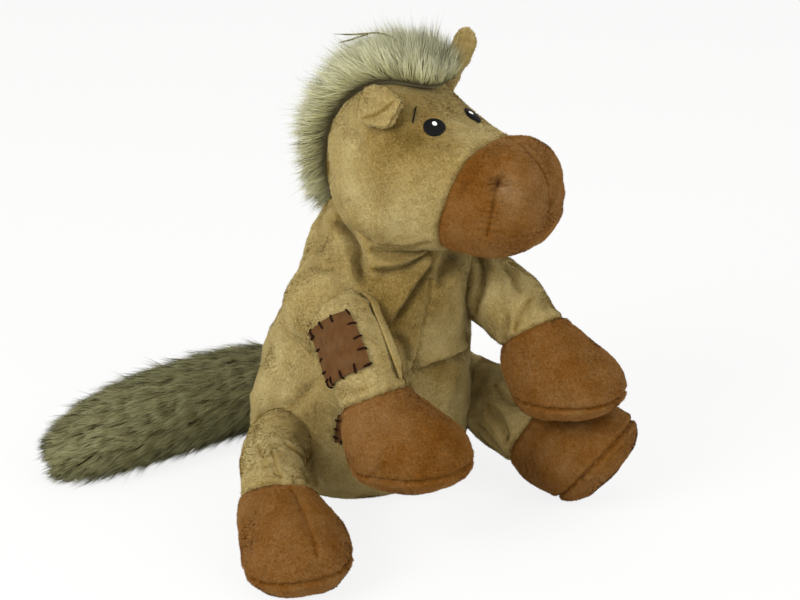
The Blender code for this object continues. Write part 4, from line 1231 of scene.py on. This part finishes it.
# %% [markdown]
# ## Eyes and brow
#
# The eyes are embroidered in satin stitch: rows of shiny black thread laid
# side by side over padding, which leaves a low dome with fine ridges. A few
# white stitches on top make the glint. One black thread marks the brow.

# %% Satin stitches
EYE_THICKNESS, EYE_LIFT, DOME_SKIRT = 0.8, 0.4, 0.8
GLINT_WIDTH, GLINT_HEIGHT, GLINT_THICKNESS, GLINT_LIFT = 2.5, 2.7, 0.3, 0.25
THREAD_SPACING, RIDGE_HEIGHT, DOME_SIDES = 0.5, 0.07, 96
FACING_POINTS = 160
# Width, height and roll of each eye, then the pixels of its middle and its glint.
eye_ovals = {"right": (11.3, 10.2, 8), "left": (7.0, 12.0, -30)}
eye_pixels = {"right": ((434.3, 127.6), (434.0, 125.2)), "left": ((472.5, 115.8), (469.8, 115.2))}


def surface_frame(grid, pixel, up_hint):
    """Place, across, up and outward directions of a skin behind a pixel."""
    place = on_skin(grid, [pixel])[0]
    out = outward_at(grid, place, FACING_POINTS)
    up = unit(up_hint - out * np.dot(up_hint, out))
    return place, np.cross(up, out), up, out


def satin_dome(name, place, across, up, out, width, height, thickness, lift, finish, roll=0):
    """An oval dome of laid threads, rolled by an angle in its own plane."""
    turn = math.radians(roll)
    cosine, sine = math.cos(turn), math.sin(turn)
    across, up = across * cosine + up * sine, up * cosine - across * sine
    angles = np.arange(DOME_SIDES) * (2 * math.pi / DOME_SIDES)
    rows = []
    for share in np.concatenate((np.linspace(0, 0.9, 30), (0.95, 0.985, 1.0, 1.0))):
        x, y = np.cos(angles) * share * width / 2, np.sin(angles) * share * height / 2
        dome = thickness * (1 - share**4) ** 0.5
        ridge = RIDGE_HEIGHT * np.abs(np.sin(math.pi * (y + 0.25 * x) / THREAD_SPACING)) * (share < 0.99)
        rows.append(place + np.outer(x, across) + np.outer(y, up) + np.outer(lift + dome + ridge, out))
    rows.append(rows[-1] - out * DOME_SKIRT)
    return sew(name, np.array(rows), finish)


head_up = HEAD_TURN @ np.array((0, 0.25, 1.0))
for side, (pixel, glint_pixel) in eye_pixels.items():
    place, across, up, out = surface_frame(skull_grid, pixel, head_up)
    width, height, roll = eye_ovals[side]
    eye = satin_dome(f"eye_{side}_satin", place, across, up, out, width, height, EYE_THICKNESS,
                     EYE_LIFT, black_thread, roll)
    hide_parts(f"eye_{side}")
    glint_place = on_skin(skull_grid, [glint_pixel])[0]
    glint_place = glint_place - out * np.dot(glint_place - place, out)
    glint = satin_dome(f"eye_{side}_glint", glint_place, across, up, out, GLINT_WIDTH, GLINT_HEIGHT,
                       GLINT_THICKNESS, EYE_THICKNESS + GLINT_LIFT, white_thread)
    for piece in (eye, glint):
        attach(piece, "head")
    print("eye", side, np.round(place, 1), "faces", np.round(out, 2))

# %% [markdown]
# A single thread is a thin tube that dives into the cloth, so it narrows at
# both ends. The brow is one such thread; the patches below use many.

# %% Laid threads
THREAD_SIDES, TAPER_SHARE, END_SHARE = 8, 0.12, 0.35
BROW_RADIUS = 0.42
brow_pixels = ((416.2, 106.5), (414.6, 112), (413.6, 118), (412.4, 124))
brow_middle = (414.5, 115)
brow_lifts = np.array((0.2, 1.2, 1.2, 0.2))


def thread(name, points, radius, finish):
    """A laid thread: a tube along points that thins at both ends."""
    line = smooth_rows(points, 6)
    ways = unit(np.gradient(line, axis=0))
    first = unit(np.cross(ways, (0.31, 0.53, 0.79)))
    second = np.cross(ways, first)
    shares = np.linspace(0, 1, len(line))
    girth = radius * np.clip(np.minimum(shares, 1 - shares) / TAPER_SHARE, END_SHARE, 1)
    rows = [ring(place, a * size, b * size, THREAD_SIDES)
            for place, a, b, size in zip(line, first, second, girth)]
    return sew(name, np.array(rows), finish)


brow_out = surface_frame(skull_grid, brow_middle, head_up)[3]
brow_line = on_skin(skull_grid, brow_pixels) + brow_out * brow_lifts[:, None]
brow = thread("brow_stitch", brow_line, BROW_RADIUS, black_thread)
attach(brow, "head")

# %% [markdown]
# ## Suede patches
#
# A square of thin brown suede is sewn on the right sleeve, and a smaller one
# on the belly. Long dark stitches cross the edge at uneven steps, as a hand
# would leave them. Each patch is a flat sheet laid over the curve of the skin.

# %% Patches and their stitches
PATCH_LIFT, PATCH_THICKNESS = 1.1, 0.7
STITCH_RADIUS, STITCH_LIFT = 0.52, 2.0


def smooth_sheet(sheet, rounds=4):
    """Even out a grid of places, keeping its corners."""
    for _ in range(rounds):
        wide = np.pad(sheet, ((1, 1), (1, 1), (0, 0)), mode="reflect", reflect_type="odd")
        sheet = (4 * sheet + wide[:-2, 1:-1] + wide[2:, 1:-1] + wide[1:-1, :-2] + wide[1:-1, 2:]) / 8
    return sheet


def between(grid, corners, u, v):
    """Places on a skin at shares across and down between four corners on it."""
    rows, sides = grid.shape[:2]
    points = grid.reshape(-1, 3)
    nearest = [np.argmin(np.linalg.norm(points - corner, axis=1)) for corner in corners]
    found = np.array([divmod(index, sides) for index in nearest], dtype=float)
    found[:, 1] = (found[:, 1] - found[0, 1] + sides / 2) % sides - sides / 2 + found[0, 1]
    u, v = u[..., None], v[..., None]
    top, bottom = found[0] * (1 - u) + found[1] * u, found[3] * (1 - u) + found[2] * u
    row, side = np.moveaxis(top * (1 - v) + bottom * v, -1, 0)
    low, left = np.floor(row).astype(int), np.floor(side).astype(int)
    high, right = np.minimum(low + 1, rows - 1), left + 1
    a, b = (row - low)[..., None], (side - left)[..., None]
    near = grid[low, left % sides] * (1 - b) + grid[low, right % sides] * b
    far = grid[high, left % sides] * (1 - b) + grid[high, right % sides] * b
    return near * (1 - a) + far * a


def lay_patch(name, sheet, outs, body, node):
    """A thin sheet of suede over a grid of places, with its outward ways."""
    size = sheet.shape[:2]
    sheet, outs = smooth_sheet(sheet), unit(smooth_sheet(outs, 8))
    lift = PATCH_LIFT + 0.12 * ripple(sheet, 9, 51)[..., None]
    top, under = sheet + outs * (lift + PATCH_THICKNESS), sheet + outs * lift
    count = size[0] * size[1]
    index = np.arange(count).reshape(size)
    quads = np.stack((index[:-1, :-1], index[:-1, 1:], index[1:, 1:], index[1:, :-1]), axis=-1).reshape(-1, 4)
    edge = np.concatenate((index[0, :-1], index[:-1, -1], index[-1, :0:-1], index[:0:-1, 0]))
    rim = [(a, a + count, b + count, b) for a, b in zip(edge, np.roll(edge, -1))]
    faces = quads[:, ::-1].tolist() + (quads + count).tolist() + rim
    points = np.vstack((top.reshape(-1, 3), under.reshape(-1, 3)))
    patch = build_mesh(name, points, faces, brown_suede, tone=0.5 + 0.08 * ripple(points, 9, 52),
                       tip=0.5 + 0.08 * ripple(points, 4, 53))
    if np.dot(patch.data.polygons[0].normal, outs[0, 0]) < 0:
        patch.data.flip_normals()
    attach(patch, body)
    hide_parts(node)
    return patch


def tell_edges(name, sheet):
    """Print how long the edges of a laid sheet are."""
    down, across = row_arcs(sheet)[-1], row_arcs(sheet.swapaxes(0, 1))[-1]
    print(name, "edges down", np.round(down[[0, -1]], 1), "and across", np.round(across[[0, -1]], 1))


def cross_stitches(name, grid, ends, body):
    """Dark stitches that dive in and out of the cloth across an edge."""
    made = []
    for number, (start, stop) in enumerate(ends, 1):
        out = outward_at(grid, (start + stop) / 2, 20)
        line = np.array([start + out * 0.3, start * 0.75 + stop * 0.25 + out * STITCH_LIFT,
                         start * 0.25 + stop * 0.75 + out * (STITCH_LIFT + 0.25), stop + out * 0.6])
        stitch = thread(f"{name}_{number:02d}", line, STITCH_RADIUS, brown_thread)
        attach(stitch, body)
        made.append(stitch)
    return made


# %% [markdown]
# The patch on the sleeve is seen whole, so its corners and stitches come from
# the photograph. It is laid in the sleeve's own rows, which keeps its edges
# straight round the curve.

# %% The patch on the sleeve
STITCH_IN, STITCH_OUT = 0.13, -0.04
patch_pixels = ((309.5, 333), (348, 312.5), (370, 366.5), (327.5, 389.5))
stitch_shares = {"top": (0.10, 0.38, 0.66, 0.96), "right": (0.27, 0.49, 0.71, 0.96),
                 "bottom": (0.04, 0.20, 0.46, 0.70), "left": (0.10, 0.31, 0.52, 0.71, 0.88)}
corners = on_skin(sleeve_grid, patch_pixels)
sheet = between(sleeve_grid, corners, *np.meshgrid(np.linspace(0, 1, 20), np.linspace(0, 1, 24)))
tell_edges("sleeve patch", sheet)
sleeve_patch = lay_patch("sleeve_patch_suede", sheet, outward_at(sleeve_grid, sheet), "arm_right",
                         "sleeve_patch")
starts, stops = [], []
for edge, shares in stitch_shares.items():
    for number, share in enumerate(shares):
        tilt = share + (0.03 if number % 2 else -0.01)
        for ends, depth, along in ((starts, STITCH_OUT, share), (stops, STITCH_IN, tilt)):
            ends.append({"top": (along, depth), "right": (1 - 1.2 * depth, along),
                         "bottom": (along, 1 - depth), "left": (1.2 * depth, along)}[edge])
ends = list(zip(*(between(sleeve_grid, corners, *np.array(shares).T) for shares in (starts, stops))))
sleeve_stitches = cross_stitches("sleeve_stitch", sleeve_grid, ends, "arm_right")

# %% [markdown]
# The belly patch is laid by bearing and height on the trunk, because only its
# edge beside the hoof can be seen.

# %% The patch on the belly
BELLY_STITCH_OUT, BELLY_STITCH_IN = 1.0, 1.5
belly_bearings, belly_heights = np.linspace(-48.5, -32, 14), np.linspace(58, 43, 16)
sheet = np.array([bearing_line(belly_bearings, [height] * len(belly_bearings)) for height in belly_heights])
tell_edges("belly patch", sheet)
belly_patch = lay_patch("belly_patch_suede", sheet, outward_at(trunk_grid, sheet), "trunk", "belly_patch")
belly_corners = sheet[(0, 0, -1, -1), (0, -1, -1, 0)]
ends = []
for a, b in zip(belly_corners, np.roll(belly_corners, -1, axis=0)):
    inward = unit(belly_corners.mean(axis=0) - (a + b) / 2)
    for share in (0.2, 0.5, 0.8):
        middle = a * (1 - share) + b * share
        ends.append((middle - inward * BELLY_STITCH_OUT, middle + inward * BELLY_STITCH_IN))
belly_stitches = cross_stitches("belly_stitch", trunk_grid, ends, "trunk")
print("stitches", len(sleeve_stitches), "and", len(belly_stitches))

# %% [markdown]
# ## Mane and tail
#
# Both are strips of long pile fabric. Real long pile stands in tufts, because
# the strands cling together at their tips, so every strand here leans to the
# tip of its own tuft. A ground under the strands fills the gaps; it and the
# strands' roots are painted dark as the shade deep in the pile.

# %% Long pile
TUFT_STRANDS, FEWEST_TUFTS = 26, 8
HAIR_FLOOR_GAP = 0.25


def long_pile(name, roots, normals, flow, finish, length, width, cling, seed):
    """Curved tapering strands that gather in tufts."""
    rng = np.random.default_rng(seed)
    count = len(roots)
    tuft_count = max(int(count / TUFT_STRANDS), FEWEST_TUFTS)
    tufts = rng.choice(count, tuft_count, replace=False)
    tree = kdtree.KDTree(tuft_count)
    for number, root_index in enumerate(tufts):
        tree.insert(roots[root_index], number)
    tree.balance()
    owner = tufts[[tree.find(place)[1] for place in roots]]
    reach = length * rng.uniform(0.5, 1.0, (count, 1)) * (0.8 + 0.4 * rng.random((count, 1))[owner])
    reach *= np.where(rng.random((count, 1)) < 0.08, 1.3, 1)
    tuft_lean = rng.normal(size=(count, 3))[owner]
    way = unit(flow + 0.13 * tuft_lean + 0.14 * rng.normal(size=(count, 3)))
    start = unit(normals * 0.9 + way * 0.6)
    tip = roots + way * reach + start * reach * 0.12
    tuft_tip = roots[owner] + way[owner] * reach[owner]
    tip = tip * (1 - cling) + tuft_tip * cling + 0.4 * rng.normal(size=(count, 3))
    bend = roots + start * reach * 0.5
    side = unit(np.cross(tip - roots, normals + 0.35 * rng.normal(size=(count, 3))))
    side *= np.where(np.sum(np.cross(side, tip - roots) * normals, axis=1, keepdims=True) > 0, 1, -1)
    half = width / 2
    middle = roots * 0.3 + bend * 0.45 + tip * 0.25
    points = np.stack((roots - side * half, roots + side * half, middle - side * half * 0.8,
                       middle + side * half * 0.8, tip), axis=1).reshape(-1, 3)
    points[:, 2] = np.maximum(points[:, 2], HAIR_FLOOR_GAP)
    base = np.arange(count)[:, None] * 5
    faces = (base + np.array((0, 1, 3, 2))).tolist() + (base + np.array((2, 3, 4))).tolist()
    shade = unit(0.8 * normals + 0.3 * unit(tip - roots) + 0.15 * rng.normal(size=(count, 3)))
    tone = np.clip(0.5 + 0.08 * rng.normal(size=count) + 0.10 * rng.normal(size=count)[owner], 0, 1)
    # Roots take the dark root colour, painted shade deep in the tufts, and tips the pale one.
    return build_mesh(name, points, faces, finish, normals=np.repeat(shade, 5, axis=0),
                      tone=np.repeat(tone, 5), tip=np.tile((0, 0, 0.5, 0.5, 1), count))


# %% [markdown]
# The mane is a strip sewn into the seam over the head, from the forelock to
# the nape. Its strands spread from the crown, and two long ones stray.

# %% Mane
MANE_WIDTH, MANE_THICKNESS, MANE_REACH, MANE_SIDES = 30, 9, 46, 64
MANE_STRANDS, MANE_STRAND_WIDTH, MANE_CLING = 66000, 0.34, 0.18
STRAY_RADIUS, STRAY_ACROSS = 0.45, -9
# Shares of the mane's width, and lengths of its hair, by the angle over the head.
mane_shares = ((70, 0.0), (76, 0.7), (92, 1.0), (140, 1.0), (180, 0.95), (200, 0.75), (208, 0.0))
mane_lengths = ((70, 11), (84, 18), (110, 21), (150, 20), (180, 18), (206, 17))
crown = np.array((0, -5, 27))
skull_middle = np.array((0, -HEAD_FORWARD, HEAD_RISE))
mane_rows = []
for angle, width in smooth_rows(mane_shares, 10):
    turn = math.radians(angle)
    way = np.array((0, -math.cos(turn), math.sin(turn)))
    width = max(width, 0)
    mane_rows.append(ring(skull_middle + way * MANE_REACH, (MANE_WIDTH / 2 * width, 0, 0),
                          way * MANE_THICKNESS / 2 * width, MANE_SIDES))
mane_grid = from_head(np.array(mane_rows))
# The ground takes the dark root colour: painted shade under the strands.
mane_ground = sew("mane_ground", mane_grid, mane_pile, 0.0)
roots, normals, mane_area, _ = scatter(mane_grid, MANE_STRANDS, 61)
uppermost = np.sum(normals * unit(roots - from_head(skull_middle)), axis=1) > -0.1
roots, normals = roots[uppermost], normals[uppermost]
local = to_head(roots) - skull_middle
bearing = np.degrees(np.arctan2(local[:, 2], -local[:, 1])) % 360
flow = unit((local - crown) * np.array((0.55, 1, 1))) @ HEAD_TURN.T
mane_length = np.interp(bearing, *np.transpose(mane_lengths))[:, None]
mane_strands = long_pile("mane_strands", roots, normals, flow, mane_pile, mane_length, MANE_STRAND_WIDTH,
                         MANE_CLING, 62)
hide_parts("mane")
stray_pixels = (((334, 34), (352, 34.5), (366, 33.5), (378, 33), (392, 37), (402, 45), (409, 55)),
                ((339, 42.5), (350, 40), (360, 36.5), (371, 33.5)))
strays = []
side_way = HEAD_TURN @ np.array((-1, 0, 0))
side_place = from_head(skull_middle + np.array((STRAY_ACROSS, 0, 0)))
for number, pixels in enumerate(stray_pixels, 1):
    across, down = (np.array(pixels) - PICTURE / 2).T
    rays = unit(-view_back + (np.outer(across, view_right) - np.outer(down, view_up)) / FOCAL_PIXELS)
    places = camera_place + rays * ((side_place - camera_place) @ side_way / (rays @ side_way))[:, None]
    strays.append(thread(f"stray_strand_{number}", places, STRAY_RADIUS, tail_pile))
for piece in (mane_ground, mane_strands, *strays):
    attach(piece, "head")
print("mane strands", len(mane_strands.data.vertices) // 5, "ground", np.round(mane_area))

# %% [markdown]
# The tail is a stuffed tube of darker long pile that lies on the floor. Its
# hair is combed towards the tip, and it is shorter there.

# %% Tail
TAIL_STRANDS, TAIL_STRAND_WIDTH, TAIL_CLING = 48000, 0.36, 0.35
TAIL_GROUND_SHARE, TAIL_WIDE_SHARE, TAIL_SINK, TAIL_SIDES = 0.80, 1.05, 0.5, 72
# Lengths of the tail's hair, by the share of the way to its tip.
tail_lengths = ((0, 18), (0.2, 20), (0.65, 15), (0.85, 9), (1, 3))
right, back, girth, lift = smooth_rows(tail_shares, 12).T
floor_height = np.maximum(girth, 0) * TAIL_RADIUS - TAIL_SINK
middles = np.column_stack((TAIL_ROOT[0] - TAIL_LENGTH * right, TAIL_ROOT[1] + TAIL_LENGTH * back,
                           TAIL_ROOT[2] * lift + floor_height * (1 - lift)))
ways = np.gradient(middles, axis=0)
ways[:, 2] = 0
tail_rows = []
for middle, way, size in zip(middles, unit(ways), np.maximum(girth, 0) * TAIL_RADIUS * TAIL_GROUND_SHARE):
    middle = middle - np.array((0, 0, TAIL_SINK)) * min(size / 16, 1)
    across = np.cross(way, (0, 0, 1)) * size * TAIL_WIDE_SHARE
    tail_rows.append(ring(middle, across, (0, 0, size), TAIL_SIDES))
tail_grid = np.array(tail_rows)
tail_grid[..., 2] = np.maximum(tail_grid[..., 2], 0.3)
# The ground takes nearly the root colour: painted shade under the strands.
tail_ground = sew("tail_ground", tail_grid, tail_pile, 0.1)
roots, normals = scatter(tail_grid, TAIL_STRANDS, 71)[:2]
nearest = np.argmin(np.linalg.norm(roots[:, None] - middles[None, ::4], axis=2), axis=1) * 4
flow = unit(ways)[np.minimum(nearest, len(ways) - 1)] + normals * 0.4 + np.array((0, 0, -0.1))
tail_length = np.interp(nearest / len(ways), *np.transpose(tail_lengths))[:, None]
tail_strands = long_pile("tail_strands", roots, normals, flow, tail_pile, tail_length, TAIL_STRAND_WIDTH,
                         TAIL_CLING, 72)
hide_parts("tail")
for piece in (tail_ground, tail_strands):
    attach(piece, "tail_body")
print("tail strands", len(tail_strands.data.vertices) // 5)

# %% [markdown]
# ## Floor, light and the two sizes
#
# The floor is plain and pale. For camera rays it is nearly white, which keeps
# the picture's clean ground while the toy's shadow still shows. A large soft
# key stands to the left of the camera and the world fills the shadows.

# %% Stage
FLOOR_REACH, FLOOR_DROP = 4000, 0.2
# Uncoated paper: matt white, without a sheen of its own.
floor_finish = bpy.data.materials.new("matt_paper_floor")
floor_finish.use_nodes = True
tree = floor_finish.node_tree
tree.nodes.remove(tree.nodes["Principled BSDF"])
paths = add_node(tree, "ShaderNodeLightPath")
paper = add_node(tree, "ShaderNodeBsdfDiffuse", {"Color": linear("#F3F2EE")})
glow = add_node(tree, "ShaderNodeEmission", {"Color": linear("#FFFFFF"), "Strength": 1.0})
seen = add_node(tree, "ShaderNodeMath", {0: paths.outputs["Is Camera Ray"], 1: 0.85}, operation="MULTIPLY")
both = add_node(tree, "ShaderNodeMixShader", {0: seen.outputs[0], 1: paper.outputs[0], 2: glow.outputs[0]})
tree.links.new(both.outputs[0], tree.nodes["Material Output"].inputs["Surface"])
floor_corners = np.array([(x * FLOOR_REACH, y * FLOOR_REACH, -FLOOR_DROP)
                          for x, y in ((-1, -1), (1, -1), (1, 1), (-1, 1))])
floor = build_mesh("floor", floor_corners, [(0, 1, 2, 3)], floor_finish)

world = bpy.data.worlds.new("white_studio")
world.use_nodes = True
tree = world.node_tree
paths = add_node(tree, "ShaderNodeLightPath")
direct = add_node(tree, "ShaderNodeMath", {
    0: paths.outputs["Is Camera Ray"], 1: paths.outputs["Is Glossy Ray"]}, operation="MAXIMUM")
strength = add_node(tree, "ShaderNodeMapRange", {"Value": direct.outputs[0], "To Min": 0.6, "To Max": 1.0})
tree.nodes["Background"].inputs["Color"].default_value = linear("#FFFFFF")
tree.links.new(strength.outputs[0], tree.nodes["Background"].inputs["Strength"])
bpy.context.scene.world = world

# Place, watts and size of each lamp.
lamps = {"key": ((-1.35, -0.15, 1.0), 18.5, 0.8), "front": ((0.3, -1.4, 0.9), 9, 1.0)}
TOY_MIDDLE = Vector((0, 0, 0.11))


def soft_lamp(name, place, watts, size):
    """A square area lamp that faces the toy, with its place and size in metres."""
    lamp = bpy.data.lights.new(name, "AREA")
    lamp.energy = watts
    lamp.size = size
    made = bpy.data.objects.new(name, lamp)
    made.location = place
    made.rotation_euler = (Vector(place) - TOY_MIDDLE).to_track_quat("Z", "Y").to_euler()
    bpy.context.scene.collection.objects.link(made)


for name, (place, watts, size) in lamps.items():
    soft_lamp(name, place, watts, size)
bpy.context.scene.view_settings.view_transform = "Standard"
